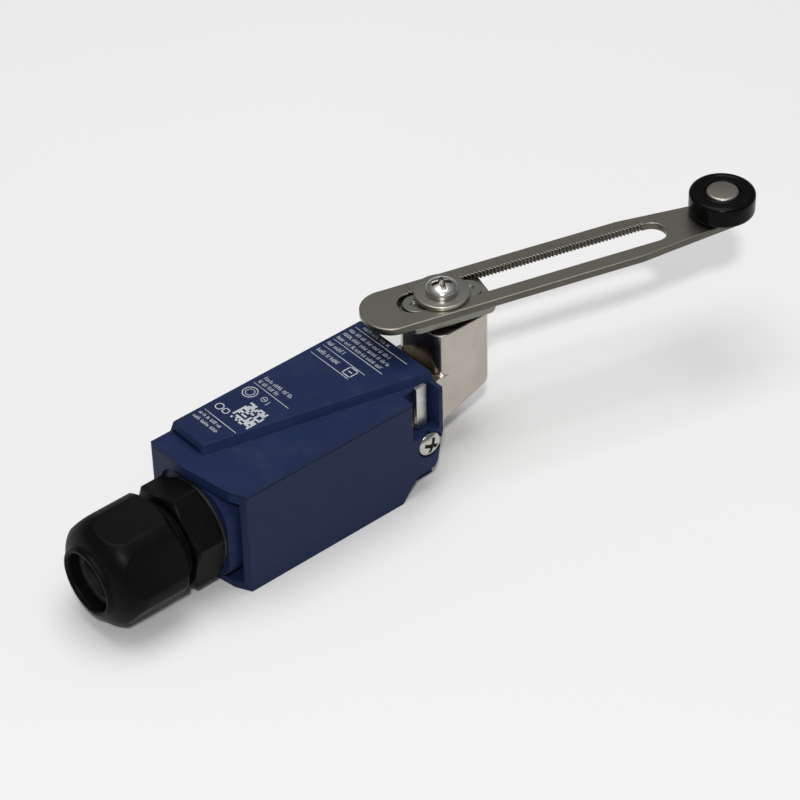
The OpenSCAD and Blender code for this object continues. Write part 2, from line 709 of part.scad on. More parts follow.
// Ring of clamping fingers that the dome nut squeezes on the seal
module gland_claws() color([0.12, 0.12, 0.12]) translate([0, 0, mid_z]) difference() {
    rotate([-90, 0, 0]) rotate_extrude() polygon([[cable_d / 2 + 1.9, dome_y0 + 5], [9.6, dome_y0 + 5.6],
        [10.2, dome_y1 - 8.1], [cable_d / 2 + 1.9, dome_y1 - 8.1]]);
    for (a = [0 : 30 : 150])
        rotate([0, a, 0]) block([-12, dome_y0 + 4, -0.4], [12, dome_y0 + 10, 0.4]);
}

module gland_seal() color([0.1, 0.1, 0.1])
    translate([0, dome_y0 + 3.4, mid_z]) rotate([-90, 0, 0])
        ring(cable_d / 2 + 1.8, cable_d / 2, dome_l - 6);

// Dome nut: clipped hexagon under a rounded crown, with a lip round its mouth
module dome_nut() color([0.08, 0.08, 0.08])
    translate([0, dome_y0, mid_z]) rotate([-90, 0, 0]) difference() {
    intersection() {
        rotate_extrude() difference() {
            union() {
                translate([0, crown_r + lip_h]) square([dome_d / 2, dome_l - crown_r - lip_h - 0.8]);
                translate([0, dome_l - 1]) square([dome_d / 2 - 0.8, 1]);
                translate([0, lip_h]) intersection() {
                    translate([dome_d / 2 - crown_r, crown_r]) circle(r = crown_r);
                    square([dome_d / 2, crown_r + tiny]);
                }
                translate([0, lip_h]) square([dome_d / 2 - crown_r, crown_r + 1]);
                square([lip_r, lip_h + 1]);
            }
            square([cable_d / 2 + 2.4, 0.6]);
        }
        rotate([0, 0, -nut_turn]) cylinder(d = nut_flats / cos(30), h = dome_l, $fn = 6);
    }
    translate([0, 0, -1]) cylinder(r = cable_d / 2 + 2, h = dome_l + 2);
    translate([0, 0, 4.6]) cylinder(r = nut_thread_r + 0.3, h = dome_l);
}

housing();
cover();
cover_gasket();
fixing_bushes();
head_clamp_yoke();
clamp_screw();
block_case();
block_lid();
block_screws();
nc_fixed_contacts();
no_fixed_contacts();
terminal_screws();
terminal_plates();
contact_carrier();
nc_bridge();
no_bridge();
carrier_spring();
head_housing();
head_gasket();
head_plunger();
shaft_bush();
shaft_seal();
head_end_cap();
lever_shaft();
cam();
retaining_clip();
lever_spring();
drive_plate();
arm_screw();
arm_washer();
lever_arm();
roller_rivet();
roller_spacer();
roller();
gland_body();
gland_ring();
gland_claws();
gland_seal();
dome_nut();
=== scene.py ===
"""Looks of a compact limit switch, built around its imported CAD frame.

The body is dark moulded plastic with a printed label field, the head and the lever are metal, and a
black cable gland closes the near end. Everything is in metres, in the frame of the CAD model.
"""

from __future__ import annotations

import json
import logging
import math
from dataclasses import dataclass, field
from enum import Enum
from functools import cached_property

import bpy
import numpy as np
from mathutils import Matrix, Vector

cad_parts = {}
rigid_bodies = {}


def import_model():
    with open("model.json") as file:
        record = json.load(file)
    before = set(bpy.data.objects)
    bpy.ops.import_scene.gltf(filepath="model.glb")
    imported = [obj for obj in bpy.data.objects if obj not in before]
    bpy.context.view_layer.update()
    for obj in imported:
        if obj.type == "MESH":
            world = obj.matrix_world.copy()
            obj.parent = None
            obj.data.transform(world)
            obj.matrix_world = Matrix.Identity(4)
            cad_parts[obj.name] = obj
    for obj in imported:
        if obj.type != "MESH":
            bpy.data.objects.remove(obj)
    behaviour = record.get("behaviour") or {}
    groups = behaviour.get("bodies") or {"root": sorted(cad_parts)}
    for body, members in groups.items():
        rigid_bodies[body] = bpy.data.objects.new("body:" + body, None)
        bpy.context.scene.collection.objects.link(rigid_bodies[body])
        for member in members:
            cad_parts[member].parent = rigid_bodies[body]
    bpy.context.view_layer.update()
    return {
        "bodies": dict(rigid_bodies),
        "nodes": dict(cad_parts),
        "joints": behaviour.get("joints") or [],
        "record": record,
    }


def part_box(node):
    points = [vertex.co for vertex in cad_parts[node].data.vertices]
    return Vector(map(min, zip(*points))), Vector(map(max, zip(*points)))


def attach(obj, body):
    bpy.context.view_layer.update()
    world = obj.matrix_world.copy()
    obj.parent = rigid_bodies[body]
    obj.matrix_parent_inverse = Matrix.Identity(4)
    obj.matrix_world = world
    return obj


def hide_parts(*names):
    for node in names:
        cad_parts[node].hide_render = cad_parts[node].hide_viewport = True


LOG = logging.getLogger("limit_switch")
MM = 0.001  # a millimetre in metres
TINY = 1e-12  # a length in place of 0, to divide by
POLE = 0.0005  # the radius in millimetres where a turned profile meets its axis
SQUARE = 0.9995  # the cosine from which a face counts as square to an axis
Array = np.ndarray
Socket = bpy.types.NodeSocket
Colour = tuple[float, float, float, float]


class Slot(Enum):
    """The record's material slots, named beside each new piece; a piece is dressed by its own finish
    name.
    """

    BODY = "body_plastic"
    GLAND = "gland_plastic"
    ROLLER = "roller_plastic"
    ARM = "arm_steel"
    BRIGHT = "bright_steel"


class Axis(Enum):
    """The row axis that a turned piece is carried round."""

    X = "x"
    Y = "y"
    Z = "z"


# ---------------------------------------------------------------------------------------------
# Mesh helpers
# ---------------------------------------------------------------------------------------------


def smooth_step(low: float, high: float, value: Array) -> Array:
    """Eases from 0 below low to 1 above high.

    Args:
        low: the value where the step starts.
        high: the value where it ends.
        value: the numbers to ease.

    Returns:
        t * t * (3 - 2 t), where t is value's share of the way, kept between 0 and 1.
    """
    t = np.clip((value - low) / (high - low), 0.0, 1.0)
    return t * t * (3.0 - 2.0 * t)


def soft_min(a: Array, b: Array, blend: float) -> Array:
    """The smaller of two fields, rounded where they cross.

    Args:
        a: the first field.
        b: the second field.
        blend: the width of the rounding, in the fields' own unit.

    Returns:
        min(a, b) less h * h * blend / 4, where h is how near the fields are, 1 at the crossing.
    """
    h = np.clip(1.0 - np.abs(a - b) / blend, 0.0, 1.0)
    return np.minimum(a, b) - h * h * blend * 0.25


def round_corners(points: list[tuple[float, float]], radius: list[float], steps: int = 5) -> Array:
    """Rounds a profile's corners with arcs of a quadratic curve.

    Each inner corner P is replaced by the curve (1-t)^2 A + 2t(1-t) P + t^2 B, where A and B lie on
    the two sides at the corner's radius from P, or half the side where that is shorter.

    Args:
        points: the profile's corners in order.
        radius: the rounding at each point.
        steps: the points on each corner.

    Returns:
        The rounded profile, shape (n, 2). The first and last points are kept as they are.
    """
    corner = np.asarray(points, float)
    t = np.linspace(0.0, 1.0, steps)[:, None]
    parts = [corner[:1]]
    for i in range(1, len(corner) - 1):
        before, after = corner[i - 1] - corner[i], corner[i + 1] - corner[i]
        length_a, length_b = np.linalg.norm(before), np.linalg.norm(after)
        a = corner[i] + before / max(length_a, TINY) * min(radius[i], length_a / 2)
        b = corner[i] + after / max(length_b, TINY) * min(radius[i], length_b / 2)
        parts.append((1 - t) ** 2 * a + 2 * t * (1 - t) * corner[i] + t**2 * b)
    parts.append(corner[-1:])
    return np.concatenate(parts)


def grid_faces(rows: int, columns: int, wrap_rows: bool) -> Array:
    """Quads over a grid of points stored row by row.

    Args:
        rows: the number of rows.
        columns: the number of columns.
        wrap_rows: whether the last row joins the first, as the last column always does.

    Returns:
        Point indices, shape (n, 4), that turn from the row direction to the column direction.
    """
    i = np.arange(rows if wrap_rows else rows - 1)[:, None]
    j = np.arange(columns)[None, :]
    i2, j2 = (i + 1) % rows, (j + 1) % columns
    near, far = i * columns, i2 * columns
    quads = np.stack(np.broadcast_arrays(near + j, far + j, far + j2, near + j2), -1)
    return quads.reshape(-1, 4)


def make_object(
    name: str, points: Array, faces: Array, smooth_angle: float | None
) -> bpy.types.Object:
    """Puts points and faces into a mesh object at the origin.

    Args:
        name: the object's name.
        points: the vertices, shape (n, 3), in metres.
        faces: the four point indices of each face, shape (m, 4).
        smooth_angle: the angle in degrees above which an edge stays sharp, or None for flat faces.

    Returns:
        The new object, linked to the scene.
    """
    mesh = bpy.data.meshes.new(name)
    loops = faces.reshape(-1).astype(np.int32)
    mesh.vertices.add(len(points))
    mesh.vertices.foreach_set("co", np.ascontiguousarray(points, np.float32).reshape(-1))
    mesh.loops.add(len(loops))
    mesh.loops.foreach_set("vertex_index", loops)
    mesh.polygons.add(len(faces))
    mesh.polygons.foreach_set("loop_start", np.arange(0, len(loops), 4, dtype=np.int32))
    mesh.polygons.foreach_set("loop_total", np.full(len(faces), 4, np.int32))
    mesh.update(calc_edges=True)
    mesh.validate()
    if smooth_angle is not None:
        mesh.polygons.foreach_set("use_smooth", np.ones(len(mesh.polygons), bool))
        mesh.set_sharp_from_angle(angle=math.radians(smooth_angle))
    piece = bpy.data.objects.new(name, mesh)
    bpy.context.scene.collection.objects.link(piece)
    return piece


def full_turn(steps: int) -> Array:
    """Evenly spaced angles once round, shape (1, steps), in radians."""
    return np.linspace(0.0, 2.0 * math.pi, steps, endpoint=False)[None, :]


def turned_piece(
    name: str, radius: Array, along: Array, centre: Vector, axis: Axis, ring: bool, sharp: float = 40.0
) -> bpy.types.Object:
    """A closed piece whose profile is carried round an axis.

    A point is centre + along * axis + radius * (cos a * first + sin a * second), where a goes once
    round with the columns, and first and second are the two row axes square to the axis.

    Args:
        name: the object's name.
        radius: radii in millimetres, shape (stations, steps round).
        along: places along the axis in millimetres, shape (stations, 1) or that of radius.
        centre: the profile's origin on the axis, in metres.
        axis: the axis.
        ring: whether the profile closes on itself. If not, it starts and ends on the axis.
        sharp: the angle in degrees above which an edge stays sharp.

    Returns:
        The object.
    """
    angle = full_turn(radius.shape[1])
    first, second = radius * MM * np.cos(angle), radius * MM * np.sin(angle)
    along = np.broadcast_to(along * MM, radius.shape)
    order = {
        Axis.X: (along, first, second),
        Axis.Y: (first, along, second),
        Axis.Z: (first, second, along),
    }
    points = np.stack(order[axis], -1) + np.array(centre)
    piece = make_object(name, points.reshape(-1, 3), grid_faces(*radius.shape, ring), sharp)
    point_outwards(piece)
    return piece


def point_outwards(piece: bpy.types.Object) -> None:
    """Turns a closed mesh's faces outwards, judged by the sign of its volume.

    Args:
        piece: the object.
    """
    mesh = piece.data
    mesh.calc_loop_triangles()
    corner = np.zeros(len(mesh.loop_triangles) * 3, np.int32)
    mesh.loop_triangles.foreach_get("vertices", corner)
    points = np.zeros(len(mesh.vertices) * 3, np.float32)
    mesh.vertices.foreach_get("co", points)
    p = points.reshape(-1, 3).astype(float)
    p = p - p.mean(0)
    a, b, c = (p[corner.reshape(-1, 3)[:, k]] for k in range(3))
    if float(np.einsum("ij,ij->i", a, np.cross(b, c)).sum()) < 0.0:
        mesh.flip_normals()
        mesh.update()


def flatten(piece: bpy.types.Object, axis: Axis) -> None:
    """Shades the faces square to an axis flat, so that long faces beside rounded edges stay even.

    Args:
        piece: the object.
        axis: the axis.
    """
    polygons = piece.data.polygons
    normal = np.zeros(len(polygons) * 3, np.float32)
    polygons.foreach_get("normal", normal)
    share = np.abs(normal.reshape(-1, 3)[:, "xyz".index(axis.value)])
    polygons.foreach_set("use_smooth", share < SQUARE)
    piece.data.update()


# ---------------------------------------------------------------------------------------------
# Shader helpers
# ---------------------------------------------------------------------------------------------


@dataclass
class Net:
    """A node tree with short calls that add, set and join nodes."""

    tree: bpy.types.NodeTree

    def add(
        self, kind: str, inputs: dict[str | int, object] | None = None, **settings: object
    ) -> bpy.types.Node:
        """Adds a node.

        Args:
            kind: the node's type name, without the leading ShaderNode.
            inputs: values or output sockets for its input sockets, by name or number.
            settings: the node's own properties.

        Returns:
            The node.
        """
        node = self.tree.nodes.new("ShaderNode" + kind)
        for key, value in settings.items():
            setattr(node, key, value)
        self.feed(node, inputs or {})
        return node

    def maths(self, operation: str, a: object, b: object = 0.0, clamp: bool = False) -> Socket:
        """A Math node's result.

        Args:
            operation: the operation's name.
            a: the first value or socket.
            b: the second value or socket.
            clamp: whether the result is kept between 0 and 1.

        Returns:
            The result's socket.
        """
        return self.add("Math", {0: a, 1: b}, operation=operation, use_clamp=clamp).outputs[0]

    def span(
        self, value: object, low: float, high: float, out_low: float = 0.0, out_high: float = 1.0
    ) -> Socket:
        """Maps a value's range to another range, eased and kept inside it.

        Args:
            value: the value or socket.
            low: the range's start.
            high: the range's end.
            out_low: the result at its start.
            out_high: the result at its end.

        Returns:
            The result's socket.
        """
        node = self.add("MapRange", {"Value": value}, interpolation_type="SMOOTHSTEP")
        self.feed(node, {"From Min": low, "From Max": high, "To Min": out_low, "To Max": out_high})
        return node.outputs["Result"]

    def mix(self, share: object, a: object, b: object) -> Socket:
        """Mixes two colours.

        Args:
            share: how much of b there is, from 0 to 1.
            a: the first colour or socket.
            b: the second colour or socket.

        Returns:
            The mixed colour's socket.
        """
        node = self.add("Mix", data_type="RGBA", blend_type="MIX")
        self.feed(node, {0: share, 6: a, 7: b})
        return node.outputs[2]

    def group(self, tree: bpy.types.NodeTree, **inputs: object) -> bpy.types.Node:
        """Adds a shared node group.

        Args:
            tree: the group.
            inputs: values or sockets for its inputs, by name.

        Returns:
            The group's node.
        """
        node = self.add("Group", node_tree=tree)
        self.feed(node, inputs)
        return node

    def relief(self, height: Socket, normal: Socket, depth: float) -> Socket:
        """The normal of a surface with fine relief.

        Args:
            height: the relief's height, from 0 to 1.
            normal: the normal without it.
            depth: the depth in metres.

        Returns:
            The normal's socket.
        """
        inputs = {"Height": height, "Normal": normal, "Strength": 1.0, "Distance": depth}
        return self.add("Bump", inputs).outputs[0]

    def feed(self, node: bpy.types.Node, inputs: dict[str | int, object]) -> None:
        """Sets a node's inputs to values, or joins them to sockets.

        Args:
            node: the node.
            inputs: the values or sockets, by the input's name or number.
        """
        for key, value in inputs.items():
            if isinstance(value, Socket):
                self.tree.links.new(value, node.inputs[key])
            else:
                node.inputs[key].default_value = value


def new_group(
    name: str, inputs: dict[str, float], outputs: dict[str, str]
) -> tuple[Net, bpy.types.Node]:
    """Makes a shader node group with named sockets.

    Args:
        name: the group's name.
        inputs: each input's name and starting value.
        outputs: each output's name and socket type.

    Returns:
        The group's net and its input node.
    """
    tree = bpy.data.node_groups.new(name, "ShaderNodeTree")
    for key, value in inputs.items():
        socket = tree.interface.new_socket(key, in_out="INPUT", socket_type="NodeSocketFloat")
        socket.default_value = value
    for key, kind in outputs.items():
        tree.interface.new_socket(key, in_out="OUTPUT", socket_type=kind)
    return Net(tree), tree.nodes.new("NodeGroupInput")


def new_material(name: str) -> tuple[bpy.types.Material, Net]:
    """Makes an empty node material.

    Args:
        name: the material's name.

    Returns:
        The material and its net.
    """
    material = bpy.data.materials.new(name)
    material.use_nodes = True
    material.node_tree.nodes.clear()
    return material, Net(material.node_tree)


FLOAT, VECTOR = "NodeSocketFloat", "NodeSocketVector"
# Painted shade: upright metal walls are darkened to this share of the flat faces' colour, partly for the
# duller punched edge.
WALL_SHADE_SHARE = 0.16  # a sheared wall's colour as a share of the flat faces'
DUST_VALUE = 0.4  # the dust's linear value


class Effects:
    """The effects that several finishes share, each a node group made once, when first asked for."""

    @staticmethod
    def finish(net: Net, values: dict[str, Socket]) -> bpy.types.NodeTree:
        """Joins a group's results to its output node.

        Args:
            net: the group's net.
            values: each output's name and the socket that feeds it.

        Returns:
            The group.
        """
        net.feed(net.tree.nodes.new("NodeGroupOutput"), values)
        return net.tree

    @cached_property
    def soft_edge(self) -> bpy.types.NodeTree:
        """Rounded edges in the normals, and a mask that is 1 on an edge."""
        net, given = new_group("soft_edge", {"Radius": 0.0003}, {"Normal": VECTOR, "Edge": FLOAT})
        rounded = net.add("Bevel", {"Radius": given.outputs["Radius"]}, samples=6)
        flat = net.add("NewGeometry")
        normals = {0: rounded.outputs[0], 1: flat.outputs["Normal"]}
        close = net.add("VectorMath", normals, operation="DOT_PRODUCT")
        edge = net.span(net.maths("SUBTRACT", 1.0, close.outputs["Value"]), 0.01, 0.16)
        return self.finish(net, {"Normal": rounded.outputs[0], "Edge": edge})

    @cached_property
    def grain(self) -> bpy.types.NodeTree:
        """Height of a moulded grain, and sparse flecks in it."""
        net, given = new_group("moulded_grain", {"Scale": 3000.0}, {"Height": FLOAT, "Fleck": FLOAT})
        place = net.add("TexCoord").outputs["Object"]
        scale = given.outputs["Scale"]
        fine = net.add("TexNoise", {"Vector": place, "Scale": scale, "Detail": 3.0, "Roughness": 0.6})
        cells = net.add("TexVoronoi", {"Vector": place, "Scale": net.maths("MULTIPLY", scale, 0.6)})
        height = net.maths("ADD", fine.outputs[0], net.maths("MULTIPLY", cells.outputs["Distance"], 0.5))
        fleck = net.span(fine.outputs[0], 0.6, 0.78)
        return self.finish(net, {"Height": height, "Fleck": fleck})

    @cached_property
    def wear(self) -> bpy.types.NodeTree:
        """Where an edge is rubbed bare: the edge mask broken up by noise."""
        inputs = {"Edge": 0.0, "Amount": 0.5, "Scale": 500.0}
        net, given = new_group("edge_wear", inputs, {"Mask": FLOAT})
        place = net.add("TexCoord").outputs["Object"]
        patch = net.add("TexNoise", {"Vector": place, "Scale": given.outputs["Scale"], "Detail": 5.0})
        broken = net.maths("MULTIPLY", net.span(patch.outputs[0], 0.35, 0.68), given.outputs["Edge"])
        rubbed = net.maths("MULTIPLY", broken, given.outputs["Amount"], True)
        return self.finish(net, {"Mask": rubbed})

    @cached_property
    def dust(self) -> bpy.types.NodeTree:
        """Fine dust: specks and a faint film on faces that look up."""
        net, given = new_group("dust", {"Amount": 0.3}, {"Mask": FLOAT})
        place = net.add("TexCoord").outputs["Object"]
        up = net.add("SeparateXYZ", {0: net.add("NewGeometry").outputs["Normal"]}).outputs["Z"]
        film = net.add("TexNoise", {"Vector": place, "Scale": 90.0, "Detail": 6.0, "Roughness": 0.65})
        speck = net.add("TexVoronoi", {"Vector": place, "Scale": 900.0, "Randomness": 1.0})
        specks = net.span(speck.outputs["Distance"], 0.16, 0.04)
        film_share = net.span(film.outputs[0], 0.45, 0.75, 0.0, 0.5)
        cover = net.maths("ADD", film_share, net.maths("MULTIPLY", specks, 0.5))
        on_top = net.maths("MULTIPLY", cover, net.span(up, -0.1, 0.9))
        mask = net.maths("MULTIPLY", on_top, given.outputs["Amount"], True)
        return self.finish(net, {"Mask": mask})

    @cached_property
    def streaks(self) -> bpy.types.NodeTree:
        """Grain left by rolling and brushing, drawn out along a direction in the X-Y plane."""
        net, given = new_group("brushed_streaks", {"Turn": 0.0, "Scale": 900.0}, {"Value": FLOAT})
        place = net.add("TexCoord").outputs["Object"]
        angle = net.add("CombineXYZ", {"Z": given.outputs["Turn"]}).outputs[0]
        turned = net.add("Mapping", {"Vector": place, "Rotation": angle}).outputs[0]
        drawn = net.add("VectorMath", {0: turned, 1: (1.0, 0.035, 1.0)}, operation="MULTIPLY").outputs[0]
        inputs = {"Vector": drawn, "Scale": given.outputs["Scale"], "Detail": 4.0, "Roughness": 0.7}
        return self.finish(net, {"Value": net.add("TexNoise", inputs).outputs[0]})

    @cached_property
    def cloud(self) -> bpy.types.NodeTree:
        """Broad uneven patches, such as handling marks and slight colour changes."""
        net, given = new_group("uneven_cloud", {"Scale": 40.0}, {"Value": FLOAT})
        place = net.add("TexCoord").outputs["Object"]
        inputs = {"Vector": place, "Scale": given.outputs["Scale"], "Detail": 4.0, "Distortion": 0.6}
        broad = net.add("TexNoise", inputs)
        return self.finish(net, {"Value": net.span(broad.outputs[0], 0.3, 0.7)})


def grey(value: float) -> Colour:
    """An opaque neutral colour of that linear value."""
    return (value, value, value, 1.0)


@dataclass(frozen=True)
class Plastic:
    """A moulded plastic or rubber finish.

    Attributes:
        name: the material's name.
        colour: linear base colour.
        shade: linear colour of the uneven patches.
        worn: linear colour where an edge is rubbed.
        roughness: the surface's mean roughness.
        grain_scale: waves of the moulded grain per metre.
        grain_depth: the height of the grain in metres.
        edge_radius: rounding shown at the edges, in metres.
        wear: how much of the edges is rubbed.
        dust: how much dust lies on top.
        specular: the shader's specular level.
    """

    name: str
    colour: Colour
    shade: Colour
    worn: Colour
    roughness: float = 0.5
    grain_scale: float = 2600.0
    grain_depth: float = 0.00002
    edge_radius: float = 0.0004
    wear: float = 0.4
    dust: float = 0.15
    specular: float = 0.5

    def build(self, effects: Effects) -> bpy.types.Material:
        """Makes the material.

        Args:
            effects: the shared node groups.

        Returns:
            The material.
        """
        material, net = new_material(self.name)
        edge = net.group(effects.soft_edge, Radius=self.edge_radius)
        grain = net.group(effects.grain, Scale=self.grain_scale)
        cloud = net.group(effects.cloud, Scale=55.0)
        wear = net.group(effects.wear, Amount=self.wear, Edge=edge.outputs["Edge"])
        dust = net.group(effects.dust, Amount=self.dust)
        patchy = net.mix(cloud.outputs["Value"], self.colour, self.shade)
        flecked = net.mix(net.maths("MULTIPLY", grain.outputs["Fleck"], 0.25), patchy, self.worn)
        rubbed = net.mix(wear.outputs["Mask"], flecked, self.worn)
        dusty = net.mix(dust.outputs["Mask"], rubbed, grey(DUST_VALUE))
        uneven = net.maths("MULTIPLY", cloud.outputs["Value"], 0.08)
        rough = net.maths("ADD", uneven, self.roughness - 0.04)
        rougher = net.maths("ADD", rough, net.maths("MULTIPLY", dust.outputs["Mask"], 0.3), True)
        bump = net.relief(grain.outputs["Height"], edge.outputs["Normal"], self.grain_depth)
        looks = {"Base Color": dusty, "Roughness": rougher, "Normal": bump}
        shader = net.add("BsdfPrincipled", looks | {"Specular IOR Level": self.specular})
        net.add("OutputMaterial", {"Surface": shader.outputs[0]})
        return material


@dataclass(frozen=True)
class Metal:
    """A metal finish with drawn-out streaks, smudges, brighter edges and painted shade on its upright
    walls.

    Attributes:
        name: the material's name.
        colour: linear base colour.
        shade: linear colour of the patches.
        bright: linear colour of the rubbed edges.
        roughness: the surface's mean roughness.
        spread: how far the roughness moves with streaks and smudges.
        streak_turn: the streaks' direction from +Y about Z, in radians.
        streak_scale: streaks per metre.
        relief: the streaks' height in metres.
        edge_radius: rounding shown at the edges, in metres.
        wear: how much of the edges is rubbed bright.
        wall_shade: how much darker the upright walls are painted than the flat faces, as painted shade
            and partly the duller punched edge.
    """

    name: str
    colour: Colour
    shade: Colour
    bright: Colour
    roughness: float = 0.3
    spread: float = 0.12
    streak_turn: float = 0.0
    streak_scale: float = 1100.0
    relief: float = 0.000004
    edge_radius: float = 0.0003
    wear: float = 0.5
    wall_shade: float = 0.0

    def build(self, effects: Effects) -> bpy.types.Material:
        """Makes the material.

        Args:
            effects: the shared node groups.

        Returns:
            The material.
        """
        material, net = new_material(self.name)
        edge = net.group(effects.soft_edge, Radius=self.edge_radius)
        streaks = net.group(effects.streaks, Turn=self.streak_turn, Scale=self.streak_scale)
        streak = streaks.outputs["Value"]
        cloud = net.group(effects.cloud, Scale=120.0).outputs["Value"]
        wear = net.group(effects.wear, Amount=self.wear, Edge=edge.outputs["Edge"])
        patchy = net.mix(net.maths("MULTIPLY", cloud, streak), self.colour, self.shade)
        # Painted shade: walls square to the flat faces are mixed towards a darker colour, partly for the
        # duller punched edge.
        upright = net.add("SeparateXYZ", {0: net.add("TexCoord").outputs["Normal"]}).outputs["Z"]
        wall = net.span(net.maths("ABSOLUTE", upright), 0.6, 0.15, 0.0, self.wall_shade)
        dark = tuple(c * WALL_SHADE_SHARE for c in self.colour[:3]) + (1.0,)
        sheared_and_shaded = net.mix(wall, patchy, dark)
        rubbed = net.mix(wear.outputs["Mask"], sheared_and_shaded, self.bright)
        smudge = net.maths("MULTIPLY", cloud, self.spread * 0.5)
        line = net.maths("MULTIPLY", streak, self.spread)
        smoothest = self.roughness - self.spread * 0.75
        rough = net.maths("ADD", net.maths("ADD", smudge, line), smoothest, True)
        bump = net.relief(streak, edge.outputs["Normal"], self.relief)
        looks = {"Base Color": rubbed, "Roughness": rough, "Normal": bump, "Metallic": 1.0}
        shader = net.add("BsdfPrincipled", looks)
        net.add("OutputMaterial", {"Surface": shader.outputs[0]})
        return material


@dataclass
class Finishes:
    """Every finish of the switch, and the material made from each.

    Attributes:
        effects: the shared node groups.
        lever_turn: the lever's turn from +Y, which the arm's streaks follow.
        made: the materials by name.
    """

    effects: Effects
    lever_turn: float
    made: dict[str, bpy.types.Material] = field(default_factory=dict)

    def catalogue(self) -> list[Plastic | Metal]:
        """The finishes of the material slots, of the better dressed nodes and of the label's ink.

        Returns:
            The finishes, each named once.
        """
        black, soot = (0.0022, 0.0024, 0.0022, 1.0), (0.0038, 0.004, 0.0038, 1.0)
        return [
            Plastic(
                "body_plastic", (0.0082, 0.0175, 0.06, 1), (0.0105, 0.0205, 0.066, 1),
                (0.03, 0.046, 0.1, 1), grain_depth=0.00003, edge_radius=0.0005, wear=0.45, dust=0.04,
                specular=0.13,
            ),
            Plastic("block_plastic", grey(0.014), grey(0.02), grey(0.06)),
            Plastic("lid_plastic", grey(0.02), grey(0.028), grey(0.07), roughness=0.45),
            Plastic(
                "carrier_plastic", (0.6, 0.58, 0.5, 1), (0.52, 0.5, 0.42, 1), (0.75, 0.73, 0.66, 1),
                roughness=0.4,
            ),
            Plastic(
                "gland_plastic", black, soot, grey(0.014), roughness=0.4, grain_scale=3400.0,
                grain_depth=0.000012, edge_radius=0.0002, dust=0.01, specular=0.06,
            ),
            Plastic(
                "seal_rubber", grey(0.006), grey(0.009), grey(0.02), roughness=0.6, grain_scale=2400.0,
                edge_radius=0.0003, wear=0.1, dust=0.05,
            ),
            Plastic(
                "roller_plastic", grey(0.0016), grey(0.0024), grey(0.012), roughness=0.22,
                grain_scale=3000.0, grain_depth=0.000006, edge_radius=0.0003, wear=0.3, dust=0.01,
                specular=0.08,
            ),
            Plastic(
                "label_ink", (0.6, 0.63, 0.66, 1), (0.5, 0.53, 0.57, 1), (0.3, 0.33, 0.42, 1),
                roughness=0.6, grain_scale=5000.0, grain_depth=0.000004, edge_radius=0.00002, wear=0.3,
                dust=0.05, specular=0.3,
            ),
            Metal(
                "head_metal", (0.5, 0.465, 0.41, 1), (0.4, 0.37, 0.32, 1), (0.8, 0.77, 0.72, 1),
                roughness=0.2, spread=0.1, streak_turn=1.57, streak_scale=700.0, relief=0.000003,
                edge_radius=0.0005, wear=0.3,
            ),
            # The arm's upright walls and rack teeth get painted shade.
            Metal(
                "arm_steel", (0.3, 0.285, 0.238, 1), (0.22, 0.21, 0.178, 1), (0.66, 0.64, 0.56, 1),
                roughness=0.34, streak_turn=self.lever_turn, streak_scale=1300.0, relief=0.000003,
                wear=0.4, wall_shade=0.72,
            ),
            # The plate's upright walls get painted shade.
            Metal(
                "plate_steel", (0.36, 0.365, 0.305, 1), (0.28, 0.285, 0.24, 1), (0.7, 0.7, 0.64, 1),
                spread=0.14, wall_shade=0.45,
            ),
            Metal("yoke_steel", (0.6, 0.59, 0.56, 1), (0.5, 0.49, 0.46, 1), (0.85, 0.84, 0.82, 1)),
            Metal(
                "bright_steel", (0.56, 0.55, 0.52, 1), (0.42, 0.41, 0.39, 1), (0.85, 0.84, 0.82, 1),
                roughness=0.24, spread=0.1,
            ),
            Metal(
                "rivet_steel", (0.32, 0.31, 0.265, 1), (0.26, 0.25, 0.215, 1), (0.75, 0.74, 0.7, 1),
                roughness=0.36, spread=0.14,
            ),
            Metal("washer_steel", (0.38, 0.375, 0.33, 1), (0.31, 0.3, 0.27, 1), (0.8, 0.79, 0.75, 1)),
            Metal("spring_steel", grey(0.42), grey(0.32), grey(0.7)),
            Metal(
                "bush_bronze", (0.5, 0.28, 0.1, 1), (0.4, 0.22, 0.08, 1), (0.7, 0.45, 0.22, 1),
                roughness=0.35,
            ),
            Metal(
                "contact_metal", (0.7, 0.42, 0.2, 1), (0.55, 0.33, 0.16, 1), (0.85, 0.6, 0.38, 1),
                roughness=0.28,
            ),
        ]

    def build(self) -> None:
        """Makes the material of every finish."""
        for finish in self.catalogue():
            self.made[finish.name] = finish.build(self.effects)

    def dress(self, piece: bpy.types.Object, name: str) -> None:
        """Gives a piece one finish.

        Args:
            piece: the object.
            name: the finish's name.
        """
        slots = piece.material_slots
        if len(slots) == 0:
            piece.data.materials.append(self.made[name])
        for slot in slots:
            slot.material = self.made[name]


# ---------------------------------------------------------------------------------------------
# Sub-assemblies
# ---------------------------------------------------------------------------------------------


@dataclass
class Workshop:
    """What every sub-assembly needs.

    Attributes:
        frame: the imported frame.
        finishes: the finishes by name.
    """

    frame: dict
    finishes: Finishes

    def centre(self, node: str) -> Vector:
        """The middle of a CAD node's box."""
        low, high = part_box(node)
        return (low + high) * 0.5

    def place(self, piece: bpy.types.Object, body: str, slot: Slot, finish: str, *nodes: str) -> None:
        """Dresses a new piece, joins it to its body and lets it stand for its CAD nodes.

        Args:
            piece: the new object.
            body: the CAD body that it rides on.
            slot: not used.
            finish: the finish's name.
            nodes: the CAD nodes that it stands for.
        """
        self.finishes.dress(piece, finish)
        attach(piece, body)
        if nodes:
            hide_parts(*nodes)
        LOG.info("%s: %d faces, on body %s", piece.name, len(piece.data.polygons), body)


